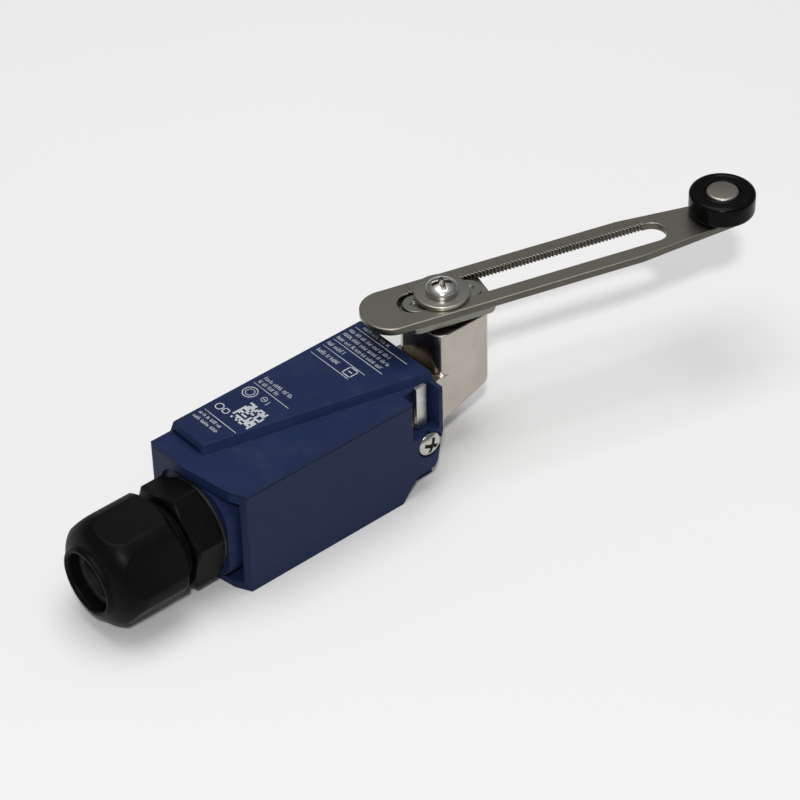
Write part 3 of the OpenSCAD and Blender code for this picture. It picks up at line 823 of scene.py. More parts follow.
@dataclass
class CadNodes:
    """The CAD nodes that keep their shape and only get their finish.

    Attributes:
        shop: the frame and finishes.
        better: nodes whose finish differs from that of their material slot.
    """

    shop: Workshop
    better: dict[str, str] = field(default_factory=lambda: {"head_clamp_yoke": "yoke_steel"})

    def dress(self) -> None:
        """Gives each CAD node the finish of its material slot."""
        for entry in self.shop.frame["record"]["subparts"]:
            node = self.shop.frame["nodes"][entry["node"]]
            finish = self.better.get(entry["node"], entry["material_slot"])
            self.shop.finishes.dress(node, finish)
            LOG.info("%s: CAD node, finish %s", node.name, finish)


@dataclass
class LabelPrint:
    """The white print on the cover's label field: rules, rows of plain marks and plain symbols.

    Attributes:
        shop: the frame and finishes.
        ink: the print's thickness in millimetres.
        sunk: how far its underside lies below the label field.
        rule: half the width of a rule in millimetres.
        left: where the rules start.
        pitch: from one tick of a row to the next.
        gap: the extra space between two groups.
        tick: half the width of a tick.
        foot: half the length of a tick's cross stroke.
        foot_w: half the width of that stroke.
        boxes: every bar as (x, y, half length, half width, turn).
    """

    shop: Workshop
    ink: float = 0.03
    sunk: float = 0.01
    rule: float = 0.09
    left: float = -14.3
    pitch: float = 0.5
    gap: float = 0.45
    tick: float = 0.085
    foot: float = 0.2
    foot_w: float = 0.07
    boxes: list[tuple[float, float, float, float, float]] = field(default_factory=list)

    def bar(self, x: float, y: float, half_x: float, half_y: float, angle: float = 0.0) -> None:
        """Adds a bar of ink.

        Args:
            x: its middle in millimetres.
            y: its middle in millimetres.
            half_x: half its length along X before it is turned.
            half_y: half its width.
            angle: its turn about Z in radians.
        """
        self.boxes.append((x, y, half_x, half_y, angle))

    def ring(self, x: float, y: float, radius: float, width: float, parts: int = 28) -> None:
        """Adds a ring of short bars.

        Args:
            x: its centre in millimetres.
            y: its centre in millimetres.
            radius: its mean radius.
            width: its line's width.
            parts: the number of bars.
        """
        angle = np.arange(parts) / parts * 2 * math.pi
        half = radius * math.tan(math.pi / parts) + 0.01
        for a in angle:
            at_x, at_y = x + radius * math.cos(a), y + radius * math.sin(a)
            self.bar(at_x, at_y, half, width / 2, float(a) + math.pi / 2)

    def square(self, x: float, y: float, half: float, width: float) -> None:
        """Adds a square outline of four bars.

        Args:
            x: its middle in millimetres.
            y: its middle in millimetres.
            half: half its side.
            width: its line's width.
        """
        line, side = width / 2, half + width / 2
        for dx, dy in ((1, 0), (-1, 0), (0, 1), (0, -1)):
            self.bar(x + dx * half, y + dy * half, line if dx else side, side if dx else line)

    def row(self, x0: float, x1: float, y: float, height: float, seed: int) -> None:
        """Adds a row of upright ticks in uneven groups, which reads as fine print but spells nothing.

        Args:
            x0: the row's start in millimetres.
            x1: its end.
            y: its middle.
            height: the ticks' height.
            seed: the seed of the groups.
        """
        draw = np.random.default_rng(seed)
        x = x0
        while x < x1:
            for _ in range(int(draw.integers(2, 7))):
                tall = height * float(draw.choice([0.7, 0.85, 1.0]))
                middle = y + (tall - height) / 2
                self.bar(x, middle, self.tick, tall / 2)
                if draw.random() < 0.55:
                    level = float(draw.choice([-0.42, 0.0, 0.42])) * tall
                    self.bar(x + self.foot, middle + level, self.foot, self.foot_w)
                x += self.pitch
                if x > x1:
                    break
            x += self.gap

    def patch(self, x0: float, y0: float, cell: float, count: int, seed: int) -> None:
        """Adds a square patch of scattered cells.

        Args:
            x0: its low corner in millimetres.
            y0: its low corner.
            cell: the side of a cell.
            count: cells along a side.
            seed: the seed of the pattern.
        """
        draw = np.random.default_rng(seed)
        on = draw.random((count, count)) < 0.62
        for i, j in np.argwhere(on):
            self.bar(x0 + (i + 0.5) * cell, y0 + (j + 0.5) * cell, cell / 2, cell / 2)

    def lay_out(self) -> None:
        """Puts every mark in its place on the label field."""
        for y, end in ((-34.7, -2.1), (-19.6, -0.9), (-1.8, 0.1), (2.2, 1.6), (5.6, 4.2), (12.6, 5.3)):
            self.bar((self.left + end) / 2, y, (end - self.left) / 2, self.rule)
        rows = (
            (-14.2, -6.0, -36.1, 1.0), (-14.2, -5.0, -37.9, 1.0), (-13.6, -3.4, -16.4, 1.2),
            (-13.6, -6.6, -18.2, 1.2), (-13.8, -5.5, 0.3, 1.3), (-14.2, -8.2, 3.9, 1.3),
            (-14.2, 2.4, 7.0, 1.2), (-14.2, 3.4, 9.0, 1.2), (-14.2, 0.6, 11.0, 1.2),
            (-12.6, -3.0, 14.0, 1.1),
        )
        for seed, (x0, x1, y, height) in enumerate(rows):
            self.row(x0, x1, y, height, seed + 11)
        self.ring(-11.9, -22.6, 1.9, 0.28)
        self.ring(-11.9, -22.6, 1.15, 0.22)
        self.ring(-7.4, -21.8, 0.8, 0.2)
        self.bar(-7.4, -21.8, 0.8, 0.1)
        self.bar(-5.6, -22.2, 0.1, 0.9)
        self.ring(-12.6, -31.4, 1.05, 0.28)
        self.square(-10.2, -31.4, 0.8, 0.26)
        self.patch(-8.6, -31.9, 0.6, 12, 5)
        self.square(-1.6, 0.3, 1.45, 0.28)
        self.bar(-1.6, 0.3, 0.7, 0.14)

    def build(self) -> None:
        """Turns the marks into one mesh just above the label field.

        Each bar is a box whose eight corners are its middle plus signs times its half sizes, turned
        about Z by its angle.
        """
        self.lay_out()
        marks = np.array(self.boxes)
        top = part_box("cover")[1].z / MM
        plan = [[-1, -1], [1, -1], [1, 1], [-1, 1]]
        sign = np.array([[*corner, level] for level in (0, 1) for corner in plan], float)
        local = sign[None, :, :2] * marks[:, None, 2:4]
        cos, sin = np.cos(marks[:, 4])[:, None], np.sin(marks[:, 4])[:, None]
        x = marks[:, None, 0] + local[..., 0] * cos - local[..., 1] * sin
        y = marks[:, None, 1] + local[..., 0] * sin + local[..., 1] * cos
        z = top - self.sunk + sign[None, :, 2] * (self.ink + self.sunk) + np.zeros_like(x)
        points = np.stack([x, y, z], -1).reshape(-1, 3) * MM
        walls = [[0, 1, 5, 4], [1, 2, 6, 5], [2, 3, 7, 6], [3, 0, 4, 7]]
        quad = np.array([[3, 2, 1, 0], [4, 5, 6, 7], *walls])
        faces = (quad[None] + np.arange(len(marks))[:, None, None] * 8).reshape(-1, 4)
        piece = make_object("label_print", points, faces, None)
        self.shop.place(piece, "body", Slot.BODY, "label_ink")


@dataclass
class CrossScrew:
    """A pan head screw with a cross recess, as one closed surface.

    Attributes:
        shop: the frame and finishes.
        node: the CAD node that it stands for.
        body: the body that it rides on.
        head_r: the head's radius in millimetres.
        head_h: its height.
        shank_r: the shank's radius.
        length: the shank's length.
        seat: the middle of the seat, in millimetres.
        axis: the axis along which the head points.
        turn: the recess's turn in radians.
        dome: how much the head's top curves down towards its rim.
        rim: where the rounded rim starts, as a share of the head's radius.
        depth: the recess's depth as a share of the head's height.
        bar: half the width of the recess's bars as a share of the head's radius.
        wall: half the width of their sloped walls.
        reach: where the bars end, as shares of the head's radius at the foot and top of that wall.
        middle: the same for the round pit where they cross.
        rings: stations on the head's top.
        steps: points round it.
    """

    shop: Workshop
    node: str
    body: str
    head_r: float
    head_h: float
    shank_r: float
    length: float
    seat: tuple[float, float, float]
    axis: Axis
    turn: float
    dome: float = 0.78
    rim: float = 0.93
    depth: float = 0.9
    bar: float = 0.14
    wall: float = 0.012
    reach: tuple[float, float] = (0.66, 0.56)
    middle: tuple[float, float] = (0.25, 0.2)
    rings: int = 72
    steps: int = 240

    def recess(self, radius: Array, angle: Array) -> Array:
        """Depth of the cross recess, as a share of the full depth.

        Two bars cross at the middle. Each is deep where the point is nearer its line than half its
        width, and both fade out before the head's rim. A round pit joins them.

        Args:
            radius: distance from the middle over the head's radius.
            angle: angle round the middle.

        Returns:
            The depth share, 0 outside and 1 in the middle.
        """
        u, v = np.abs(radius * np.cos(angle)), np.abs(radius * np.sin(angle))
        wide, narrow = self.bar + self.wall, self.bar - self.wall
        bar_u = smooth_step(wide, narrow, v) * smooth_step(*self.reach, u)
        bar_v = smooth_step(wide, narrow, u) * smooth_step(*self.reach, v)
        return np.maximum(np.maximum(bar_u, bar_v), smooth_step(*self.middle, radius))

    def build(self) -> None:
        """Builds the head, its recess and the shank.

        The head's top is h * sqrt(1 - dome * (r / R)^2) less the recess, its rim is rounded, and the
        profile then runs under the head and down the shank to its end.
        """
        share = np.linspace(0.0, 1.0, self.rings) ** 0.9
        angle = full_turn(self.steps)
        radius = np.repeat((share * self.head_r * self.rim)[:, None], self.steps, 1)
        top = self.head_h * np.sqrt(1 - self.dome * (radius / self.head_r) ** 2)
        edge_z = float(top[-1, 0])
        deep = self.head_h * self.depth * self.recess(radius / self.head_r, angle + self.turn)
        corners = [
            (self.rim * self.head_r, edge_z), (self.head_r, edge_z * 0.8), (self.head_r, 0.0),
            (self.shank_r, 0.0), (self.shank_r, -self.length + 0.3),
            (self.shank_r - 0.3, -self.length), (2 * POLE, -self.length),
        ]
        tail = round_corners(corners, [0, 0.35, 0.12, 0.05, 0.1, 0.1, 0], 6)[1:]
        radius = np.concatenate([radius, np.repeat(tail[:, :1], self.steps, 1)])
        along = np.concatenate([top - deep, np.repeat(tail[:, 1:], self.steps, 1)])
        centre = Vector(self.seat) * MM
        piece = turned_piece(self.node + "_shaped", radius, along, centre, self.axis, False)
        self.shop.place(piece, self.body, Slot.BRIGHT, "bright_steel", self.node)


@dataclass
class LeverArm:
    """The slotted arm with its rack, as one rounded band, and the parts at its two ends.

    Attributes:
        shop: the frame and finishes.
        width: the arm's width in millimetres.
        thick: its thickness.
        reach: from the shaft to the roller.
        tail: from the shaft to the arm's near end.
        tail_r: rounding of the near end's corners.
        tip_r: radius of the far end.
        taper: where the parallel sides end.
        neck: how far before the roller the taper eases off.
        flare: how much wider than the tip the arm is there, on each side.
        slot_w: the slot's width.
        slot_0: the slot's near end.
        slot_1: the slot's far end.
        rack_depth: depth of the teeth.
        rack_pitch: their pitch.
        rack_end: where the teeth end.
        fade: the length over which they grow and end.
        round_edge: rounding of the arm's edges.
        land: the narrow flat strip beside each rounding.
        samples: points round each of the two outlines.
    """

    shop: Workshop
    width: float = 16.0
    thick: float = 2.0
    reach: float = 78.0
    tail: float = 21.2
    tail_r: float = 7.0
    tip_r: float = 5.2
    taper: float = 52.0
    neck: float = 6.0
    flare: float = 0.6
    slot_w: float = 7.6
    slot_0: float = -11.7
    slot_1: float = 62.0
    rack_depth: float = 0.5
    rack_pitch: float = 1.0
    rack_end: float = 57.0
    fade: float = 0.6
    round_edge: float = 0.3
    land: float = 0.05
    samples: int = 3600

    def half_width(self, along: Array) -> Array:
        """Half the arm's width at places along it.

        The sides are parallel up to the taper, then close in to the tip's radius, and both ends are
        round: at the tail each corner is a quarter circle, at the tip a half circle.

        Args:
            along: distance from the shaft in millimetres.

        Returns:
            The half width, 0 at the very ends.
        """
        half = self.width / 2
        stops = [self.taper, self.reach - self.neck, self.reach]
        side = np.interp(along, stops, [half, self.tip_r + self.flare, self.tip_r])
        from_tail = np.clip(along + self.tail, 0.0, self.tail_r)
        drop = np.maximum(self.tail_r**2 - (self.tail_r - from_tail) ** 2, 0.0)
        tail = half - self.tail_r + np.sqrt(drop)
        past_tip = np.clip(along - self.reach, 0.0, self.tip_r)
        tip = np.sqrt(np.maximum(self.tip_r**2 - past_tip**2, 0.0))
        return np.where(along > self.reach, tip, np.minimum(side, tail))

    @staticmethod
    def loop(right: Array, left: Array, along: Array) -> Array:
        """A closed outline from the widths of its two sides: up the right and back down the left."""
        back = np.stack([-left, along], -1)[-2:0:-1]
        return np.concatenate([np.stack([right, along], -1), back])

    def places(self, start: float, end: float) -> Array:
        """Places along one side of the outline or the slot.

        Between the slot's two round ends both sides share their places, so the faces between them
        run straight across. Before and after, the places follow 1 - cos a and sin a, which crowds
        them where an end turns round.

        Args:
            start: the side's near end in millimetres from the shaft.
            end: its far end.

        Returns:
            The places, from start to end.
        """
        count = self.samples // 2
        near, far = count // 9, count // 6
        first, last = self.slot_0 + self.slot_w / 2, self.slot_1 - self.slot_w / 2
        quarter = np.linspace(0.0, math.pi / 2, near, endpoint=False)
        tail = start + (first - start) * (1 - np.cos(quarter))
        middle = np.linspace(first, last, count - near - far, endpoint=False)
        tip = last + (end - last) * np.sin(np.linspace(0.0, math.pi / 2, far))
        return np.concatenate([tail, middle, tip])

    def outer(self) -> Array:
        """The arm's outline.

        Returns:
            Points as (across, along) in millimetres, counter-clockwise.
        """
        along = self.places(-self.tail, self.reach + self.tip_r)
        half = self.half_width(along)
        return self.loop(half, half, along)

    def inner(self) -> Array:
        """The slot's outline, with the rack's teeth on its left side.

        The slot's ends are half circles. On the left side the wall is pushed out by the rack's depth
        times a triangle wave along the arm.

        Returns:
            Points as (across, along) in millimetres, counter-clockwise.
        """
        along = self.places(self.slot_0, self.slot_1)
        r = self.slot_w / 2
        from_end = np.clip(np.minimum(along - self.slot_0, self.slot_1 - along), 0.0, r)
        half = np.sqrt(np.maximum(r**2 - (r - from_end) ** 2, 0.0))
        phase = (along - self.slot_0 - r) / self.rack_pitch
        wave = 1.0 - 2.0 * np.abs(phase - np.round(phase))
        inside = smooth_step(self.slot_0 + r, self.slot_0 + r + self.fade, along)
        inside = inside * smooth_step(self.rack_end + self.fade, self.rack_end, along)
        tooth = self.rack_depth * np.clip(wave * 1.35 - 0.2, 0.0, 1.0) * inside
        return self.loop(half, half + tooth, along)

    def to_row(self, across: Array, along: Array, up: Array) -> Array:
        """Turns the arm's own coordinates into the row frame.

        A point is the shaft's axis plus along times the lever's direction plus across times the
        direction square to it.

        Args:
            across: millimetres to the arm's right.
            along: millimetres from the shaft towards the roller.
            up: millimetres above the row's origin.

        Returns:
            Points in metres.
        """
        shaft = self.shop.centre("arm_washer") / MM
        turn_by = self.shop.finishes.lever_turn
        sin, cos = math.sin(turn_by), math.cos(turn_by)
        x = shaft.x + across * cos + along * sin
        y = shaft.y - across * sin + along * cos
        return np.stack([x, y, up], -1) * MM

    def build(self) -> None:
        """Builds the band between the outline and the slot, with rounded edges.

        A closed cross-section is carried round the arm: outer wall, rounded edge, top face, rounded
        edge, slot wall and the same below. Each of its points is the outline or the slot's edge,
        moved in by that point's own inset and set at its own height.
        """
        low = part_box("lever_arm")[0].z / MM
        loops = (self.outer(), self.inner())
        moves = (-self.outward(loops[0]), self.outward(loops[1]))
        rows = []
        for side, inset, height in self.section():
            edge = loops[side] + moves[side] * inset
            rows.append(self.to_row(edge[:, 0], edge[:, 1], np.full(len(edge), low + height)))
        ring = np.stack(rows)
        faces = grid_faces(ring.shape[0], ring.shape[1], True)
        piece = make_object("arm_shaped", ring.reshape(-1, 3), faces, 40.0)
        point_outwards(piece)
        flatten(piece, Axis.Z)
        self.shop.place(piece, "arm", Slot.ARM, "arm_steel", "lever_arm")

    def section(self) -> list[tuple[int, float, float]]:
        """The band's cross-section, once round.

        Each edge is a quarter circle of radius r, so a point at angle a has the inset r - r sin a and
        the height r - r cos a from its face. A point just past each arc keeps the flat faces flat.

        Returns:
            (0 for the outline or 1 for the slot, inset, height) for each point.
        """
        bend = np.linspace(0.0, math.pi / 2, 4)
        points = []
        for side, r in ((0, self.round_edge), (1, self.round_edge / 2)):
            arc = [(r + self.land, 0.0)] + [(r - r * math.sin(a), r - r * math.cos(a)) for a in bend]
            rise = [(side, inset, height) for inset, height in arc]
            fall = [(side, inset, self.thick - height) for inset, height in reversed(arc)]
            points += rise + fall if side == 0 else fall[::-1] + rise[::-1]
        return points

    @staticmethod
    def outward(loop: Array) -> Array:
        """Unit normals of a closed outline, each square to the line between its two neighbours.

        Args:
            loop: the outline's points, counter-clockwise.

        Returns:
            The normals, shape (n, 2), pointing out of the outline.
        """
        step = np.roll(loop, -1, 0) - np.roll(loop, 1, 0)
        normal = np.stack([step[:, 1], -step[:, 0]], -1)
        return normal / np.maximum(np.linalg.norm(normal, axis=1, keepdims=True), TINY)


@dataclass
class RollerEnd:
    """The roller, its rivet and the washer under the arm screw, as turned pieces.

    Attributes:
        shop: the frame and finishes.
        roller_bore: radius of the roller's bore in millimetres.
        washer_bore: radius of the washer's bore.
        shank: radius of the rivet's shank.
        foot: radius of its closing head.
        sharp: the angle in degrees above which the rings' edges stay sharp.
        steps: points round the rings.
        rivet_steps: points round the rivet.
    """

    shop: Workshop
    roller_bore: float = 2.56
    washer_bore: float = 2.15
    shank: float = 2.5
    foot: float = 3.8
    sharp: float = 35.0
    steps: int = 128
    rivet_steps: int = 96

    def build(self) -> None:
        """Builds the three turned pieces."""
        self.build_roller()
        self.build_rivet()
        self.build_washer()

    def measure(self, node: str) -> tuple[float, float, Vector]:
        """Measures an upright round CAD node.

        Args:
            node: the node's name.

        Returns:
            Its radius and height in millimetres, and in metres the foot of its axis.
        """
        low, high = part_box(node)
        middle = self.shop.centre(node)
        return (high.x - low.x) / 2 / MM, (high.z - low.z) / MM, Vector((middle.x, middle.y, low.z))

    def spin_ring(self, name: str, profile: Array, foot: Vector) -> bpy.types.Object:
        """Turns a closed profile about the vertical through a foot point.

        Args:
            name: the object's name.
            profile: (radius, height) points in millimetres, of which the last is the first again.
            foot: the profile's origin in metres.

        Returns:
            The ring.
        """
        radius = np.repeat(profile[:-1, :1], self.steps, 1)
        return turned_piece(name, radius, profile[:-1, 1:], foot, Axis.Z, True, self.sharp)

    def build_roller(self) -> None:
        """The roller: a barrel with rounded rims, a shallow face and a hub round the rivet."""
        r, h, foot = self.measure("roller")
        bore = self.roller_bore
        corners = [
            (bore, 0), (r - 0.9, 0), (r - 0.02, 0.55), (r, h / 2), (r - 0.02, h - 0.55), (r - 0.9, h),
            (r - 1.7, h), (r - 2.0, h - 0.18), (5.2, h - 0.2), (4.9, h - 0.02), (4.45, h - 0.05),
            (4.4, h - 0.75), (bore, h - 0.8), (bore, 0),
        ]
        bends = [0, 0.5, 0.5, 1.4, 0.5, 0.45, 0.2, 0.2, 0.2, 0.15, 0.1, 0.1, 0.05, 0]
        piece = self.spin_ring("roller_shaped", round_corners(corners, bends, 6), foot)
        self.shop.place(piece, "roller", Slot.ROLLER, "roller_plastic", "roller")

    def build_rivet(self) -> None:
        """The rivet: a flat-domed head on the roller, the shank, and the closing head under the arm.

        The head's top falls with the square of the distance from the axis.
        """
        head, h, foot = self.measure("roller_rivet")
        share = np.linspace(0.0, 1.0, 14)
        face = np.stack([share * (head - 0.35), h - 0.16 * share**2], -1)
        corners = [
            (head - 0.35, h - 0.16), (head, h - 0.45), (head, h - 0.9), (self.shank, h - 0.9),
            (self.shank, 0.9), (self.foot, 0.88), (self.foot, 0.3), (self.foot - 0.5, 0.0), (POLE, 0.0),
        ]
        rest = round_corners(corners, [0, 0.3, 0.1, 0.05, 0.05, 0.1, 0.3, 0.4, 0])[1:]
        profile = np.concatenate([face, rest])
        profile[0, 0] = POLE
        radius = np.repeat(profile[:, :1], self.rivet_steps, 1)
        piece = turned_piece("rivet_shaped", radius, profile[:, 1:], foot, Axis.Z, False)
        self.shop.place(piece, "arm", Slot.BRIGHT, "rivet_steel", "roller_rivet")

    def build_washer(self) -> None:
        """The washer: a flat ring with rounded rims."""
        r, h, foot = self.measure("arm_washer")
        bore = self.washer_bore
        corners = [(bore, h / 2), (bore, 0), (r, 0), (r, h), (bore, h), (bore, h / 2)]
        profile = round_corners(corners, [0, 0.1, 0.25, 0.35, 0.2, 0], 6)
        piece = self.spin_ring("washer_shaped", profile, foot)
        self.shop.place(piece, "lever", Slot.ARM, "washer_steel", "arm_washer")


@dataclass
class CableGland:
    """The black gland: threaded body with its hexagon, and the dome nut.

    Attributes:
        shop: the frame and finishes.
        bore: radius of the body's bore in millimetres.
        hex_flats: width across the hexagon's flats.
        hex_turn: angle of a hexagon's corner from +X towards +Z, in degrees.
        nut_flats: width across the dome nut's flats.
        nut_turn: angle of one of its corners.
        pitch: the threads' pitch.
        core: root radius of the thread into the housing.
        collar: the collar's radius.
        hex_end: where the hexagon's collar meets the ring, along Y.
        hex_l: the hexagon's length.
        nut_r: radius of the nut's crown before its flats are cut.
        crown: the crown's length.
        lip_h: the height of the lip round the mouth.
        lip_r: its radius.
        mouth: the mouth's radius.
        steps: points round the axis.
    """

    shop: Workshop
    bore: float = 7.4
    hex_flats: float = 24.0
    hex_turn: float = 17.0
    nut_flats: float = 26.3
    nut_turn: float = 54.0
    pitch: float = 1.5
    core: float = 9.3
    collar: float = 11.4
    hex_end: float = -50.35
    hex_l: float = 8.4
    nut_r: float = 14.3
    crown: float = 7.2
    lip_h: float = 0.9
    lip_r: float = 9.2
    mouth: float = 7.55
    steps: int = 384

    def build(self) -> None:
        """Builds the body and the nut."""
        self.build_body()
        self.build_nut()

    def flats(self, across: float, corner: float) -> Array:
        """Distance from the axis to a hexagon's side in every direction round it.

        The distance is the apothem over cos(b), where b is the direction's angle from the nearest
        side's middle.

        Args:
            across: the width across the flats.
            corner: the angle of one corner in degrees.

        Returns:
            The distances, shape (1, steps).
        """
        sixth = math.pi / 3
        local = (full_turn(self.steps) - math.radians(corner)) % sixth - sixth / 2
        return across / 2 / np.cos(local)

    def thread(self, radius: float, depth: float, along: Array) -> Array:
        """Radius of a vee thread that climbs one pitch a turn.

        Args:
            radius: the crest's radius.
            depth: the thread's depth.
            along: places along the axis, shape (n, 1).

        Returns:
            The radii, shape (n, steps): the crest less the depth times a triangle wave.
        """
        angle = np.linspace(0.0, 1.0, self.steps, endpoint=False)[None, :]
        phase = along / self.pitch - angle
        wave = 2.0 * np.abs(phase - np.round(phase))
        return radius - depth * smooth_step(0.12, 0.88, wave)

    def build_body(self) -> None:
        """The body: thread into the housing, collar, hexagon, thread for the nut, and the bore.

        A closed profile goes along the outside from the housing to the nut and back through the
        bore. Its radius is cut by the hexagon's sides over the hexagon's length, and the two
        threads are waves on plain cylinders.
        """
        low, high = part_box("gland_body")
        z = self.shop.centre("gland_body").z
        y_in, y_out = high.y / MM, low.y / MM
        near, far = self.hex_end, self.hex_end - self.hex_l
        flats = self.flats(self.hex_flats, self.hex_turn)
        rows_r, rows_y = [], []

        def station(radius: Array | float, y: Array | float) -> None:
            """Adds stations to the profile.

            Args:
                radius: one radius, or radii of shape (n, 1) or (n, steps).
                y: the stations' place along Y, or their places, shape (n, 1).
            """
            shape = (np.size(y), self.steps)
            rows_r.append(np.broadcast_to(radius, shape))
            rows_y.append(np.broadcast_to(y, shape))

        station(self.bore, y_in)
        station(self.core, y_in)
        y = np.linspace(y_in - 0.05, near + 0.28, 90)[:, None]
        fade = smooth_step(y_in, y_in - 1.5, y)
        station(self.core + (self.thread(9.95, 0.62, y) - self.core) * fade, y)
        station(self.collar - 0.1, near + 0.24)
        station(self.collar, near + 0.18)
        station(self.collar, near + 0.02)
        corners = [
            (self.collar, near), (12.2, near - 0.02), (13.9, near - 1.1), (13.9, far + 1.1),
            (12.2, far + 0.02), (9.8, far),
        ]
        bevel = round_corners(corners, [0, 0.2, 0.3, 0.3, 0.2, 0], 6)
        station(soft_min(bevel[:, :1], flats, 0.12), bevel[:, 1:])
        y = np.linspace(far - 0.05, y_out + 0.05, 110)[:, None]
        station(self.thread(10.35, 0.5, y), y)
        station(9.7, y_out)
        station(8.4, y_out)
        station(8.4, far + 2.0)
        station(self.bore, far + 2.4)
        radius, along = np.concatenate(rows_r), np.concatenate(rows_y)
        centre = Vector((0.0, 0.0, z))
        piece = turned_piece("gland_body_shaped", radius, along, centre, Axis.Y, True, 50.0)
        self.shop.place(piece, "body", Slot.GLAND, "gland_plastic", "gland_body")

    def build_nut(self) -> None:
        """The dome nut: six flats cut into a rounded crown, with a lip round its mouth.

        A closed profile goes from the mouth over the crown and along the skirt, and back inside.
        The crown's radius is cut by the six flats with a small rounding.
        """
        low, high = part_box("dome_nut")
        z = self.shop.centre("dome_nut").z
        y0, y1 = low.y / MM, high.y / MM
        lip_y = y0 + self.lip_h
        arc = np.linspace(0.0, math.pi / 2, 30)
        crown_r = self.nut_r - self.crown + self.crown * np.sin(arc)
        crown_y = lip_y + 0.05 + self.crown * (1 - np.cos(arc))
        keep = crown_r > self.lip_r + 0.1
        first = (float(crown_r[keep][0]), float(crown_y[keep][0]))
        corners = [
            (self.mouth, y0 + 4.4), (self.mouth, y0 + 0.8), (self.mouth + 0.5, y0 + 0.05),
            (self.mouth + 0.9, y0), (self.lip_r - 0.45, y0 + 0.02), (self.lip_r, y0 + 0.5),
            (self.lip_r, lip_y + 0.2), first,
        ]
        lip = round_corners(corners, [0, 0.3, 0.3, 0.2, 0.3, 0.3, 0.15, 0])
        corners = [
            (self.nut_r, lip_y + self.crown + 0.3), (self.nut_r, y1 - 1.0), (self.nut_r - 0.9, y1 - 0.15),
            (self.nut_r - 1.5, y1), (10.8, y1), (10.8, y0 + 4.5),
        ]
        skirt = round_corners(corners, [0, 0.6, 0.3, 0.3, 0.3, 0], 6)
        crown = np.stack([crown_r[keep][1:], crown_y[keep][1:]], -1)
        profile = np.concatenate([lip, crown, skirt, [[10.75, y0 + 4.45]]])
        radius = np.repeat(profile[:, :1], self.steps, 1)
        flats = self.flats(self.nut_flats, self.nut_turn)
        cut = np.where(radius > 11.0, soft_min(radius, flats, 0.1), radius)
        centre = Vector((0.0, 0.0, z))
        piece = turned_piece("dome_nut_shaped", cut, profile[:, 1:], centre, Axis.Y, True)
        self.shop.place(piece, "body", Slot.GLAND, "gland_plastic", "dome_nut")


# ---------------------------------------------------------------------------------------------
# Studio
# ---------------------------------------------------------------------------------------------


@dataclass(frozen=True)
class Lamp:
    """A soft rectangular light.

    Attributes:
        name: the light's name.
        place: where it stands, in metres.
        aim: what it points at.
        size: its width and height in metres.
        power: its power in watts.
        colour: its colour.
    """

    name: str
    place: tuple[float, float, float]
    aim: tuple[float, float, float]
    size: tuple[float, float]
    power: float
    colour: tuple[float, float, float] = (1.0, 1.0, 1.0)

    def build(self) -> None:
        """Adds the light to the scene."""
        data = bpy.data.lights.new(self.name, "AREA")
        data.shape = "RECTANGLE"
        data.size, data.size_y = self.size
        data.energy = self.power
        data.color = self.colour
        lamp = bpy.data.objects.new(self.name, data)
        lamp.location = self.place
        lamp.rotation_euler = (Vector(self.aim) - Vector(self.place)).to_track_quat("-Z", "Y").to_euler()
        bpy.context.scene.collection.objects.link(lamp)


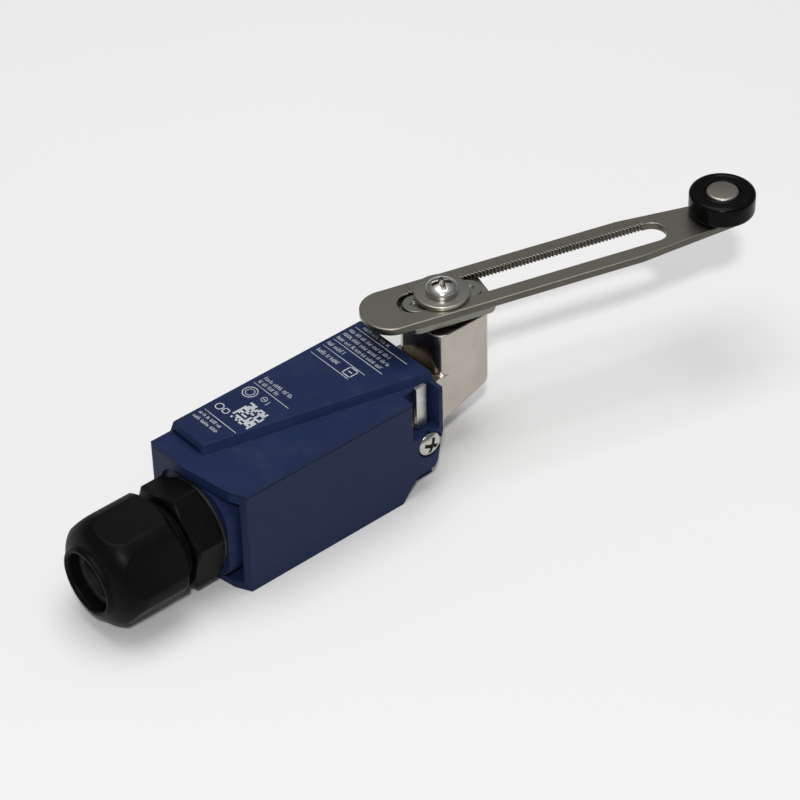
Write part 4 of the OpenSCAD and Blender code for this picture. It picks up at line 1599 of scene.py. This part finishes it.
@dataclass
class Studio:
    """The pale floor, the soft lights and the camera.

    Attributes:
        eye: where the camera stands, in metres.
        right: the camera's direction to the right.
        up: its direction upwards.
        lens: focal length on a 36 mm sensor.
        world: strength of the light from all round, at the sides and below.
        world_top: how many times stronger it is from above.
        floor_half: half the floor's side, in metres.
        floor_gap: how far the floor lies below the switch.
        lamps: the lights.
    """

    eye: tuple[float, float, float] = (0.473729, -0.374188, 0.524329)
    right: tuple[float, float, float] = (0.64746, 0.76181, -0.02098)
    up: tuple[float, float, float] = (-0.47560, 0.42541, 0.76996)
    lens: float = 144.017
    world: float = 0.2
    world_top: float = 3.0
    floor_half: float = 4.0
    floor_gap: float = 0.00004
    lamps: tuple[Lamp, ...] = (
        Lamp("top_light", (-0.10, 0.06, 1.2), (-0.02, 0.04, 0.0), (0.8, 0.8), 6.8),
        Lamp(
            "front_light", (1.0, -0.785, 1.47), (0.0, 0.03, 0.02), (0.12, 0.12), 14.6,
            (1.0, 0.995, 0.98),
        ),
    )

    def build(self) -> None:
        """Builds the whole studio."""
        self.build_camera()
        self.build_floor()
        self.build_world()
        for lamp in self.lamps:
            lamp.build()
        bpy.context.scene.view_settings.view_transform = "Standard"

    def build_camera(self) -> None:
        """Adds the camera and makes it the scene's."""
        data = bpy.data.cameras.new("camera")
        data.lens, data.sensor_width = self.lens, 36.0
        data.clip_start, data.clip_end = 0.05, 20.0
        camera = bpy.data.objects.new("camera", data)
        right, up = Vector(self.right).normalized(), Vector(self.up).normalized()
        back = right.cross(up).normalized()
        basis = Matrix((right, up, back)).transposed().to_4x4()
        camera.matrix_world = Matrix.Translation(Vector(self.eye)) @ basis
        bpy.context.scene.collection.objects.link(camera)
        bpy.context.scene.camera = camera

    def build_floor(self) -> None:
        """Lays the floor just under the switch."""
        half, z = self.floor_half, -self.floor_gap
        points = np.array([[-half, -half, z], [half, -half, z], [half, half, z], [-half, half, z]])
        floor = make_object("floor", points, np.array([[0, 1, 2, 3]]), None)
        material, net = new_material("floor_paper")
        place = net.add("TexCoord").outputs["Object"]
        paper = net.add("TexNoise", {"Vector": place, "Scale": 6.0, "Detail": 3.0})
        colour = net.mix(paper.outputs[0], (0.81, 0.81, 0.81, 1), (0.84, 0.84, 0.842, 1))
        looks = {"Base Color": colour, "Roughness": 0.75, "Specular IOR Level": 0.15}
        shader = net.add("BsdfPrincipled", looks)
        net.add("OutputMaterial", {"Surface": shader.outputs[0]})
        floor.data.materials.append(material)

    def build_world(self) -> None:
        """Lights the scene evenly from all round."""
        world = bpy.data.worlds.new("studio")
        world.use_nodes = True
        net = Net(world.node_tree)
        height = net.add("SeparateXYZ", {0: net.add("TexCoord").outputs["Generated"]}).outputs["Z"]
        strength = net.span(height, 0.5, 1.0, self.world, self.world * self.world_top)
        net.feed(world.node_tree.nodes["Background"], {"Color": grey(1.0), "Strength": strength})
        bpy.context.scene.world = world


def lever_angle(joints: list[dict]) -> float:
    """The lever's turn from +Y at rest, from the direction in which the arm slides."""
    axis = next(j["axis"] for j in joints if j["name"] == "arm_length")
    return math.atan2(axis[0], axis[1])


def main() -> None:
    """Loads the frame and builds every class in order."""
    logging.basicConfig(level=logging.INFO, format="%(message)s")
    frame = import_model()
    finishes = Finishes(Effects(), lever_angle(frame["joints"]))
    finishes.build()
    shop = Workshop(frame, finishes)
    Studio().build()
    CadNodes(shop).dress()
    LabelPrint(shop).build()
    LeverArm(shop).build()
    RollerEnd(shop).build()
    top, side = shop.centre("arm_washer") / MM, shop.centre("clamp_screw") / MM
    CrossScrew(
        shop, "arm_screw", "lever", head_r=4.0, head_h=2.87, shank_r=2.0, length=11.0,
        seat=(top.x, top.y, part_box("arm_washer")[1].z / MM), axis=Axis.Z, turn=0.5,
    ).build()
    CrossScrew(
        shop, "clamp_screw", "body", head_r=3.4, head_h=2.18, shank_r=1.5, length=2.6,
        seat=(14.2, side.y, side.z), axis=Axis.X, turn=0.35,
    ).build()
    CableGland(shop).build()


if __name__ == "__main__":
    main()
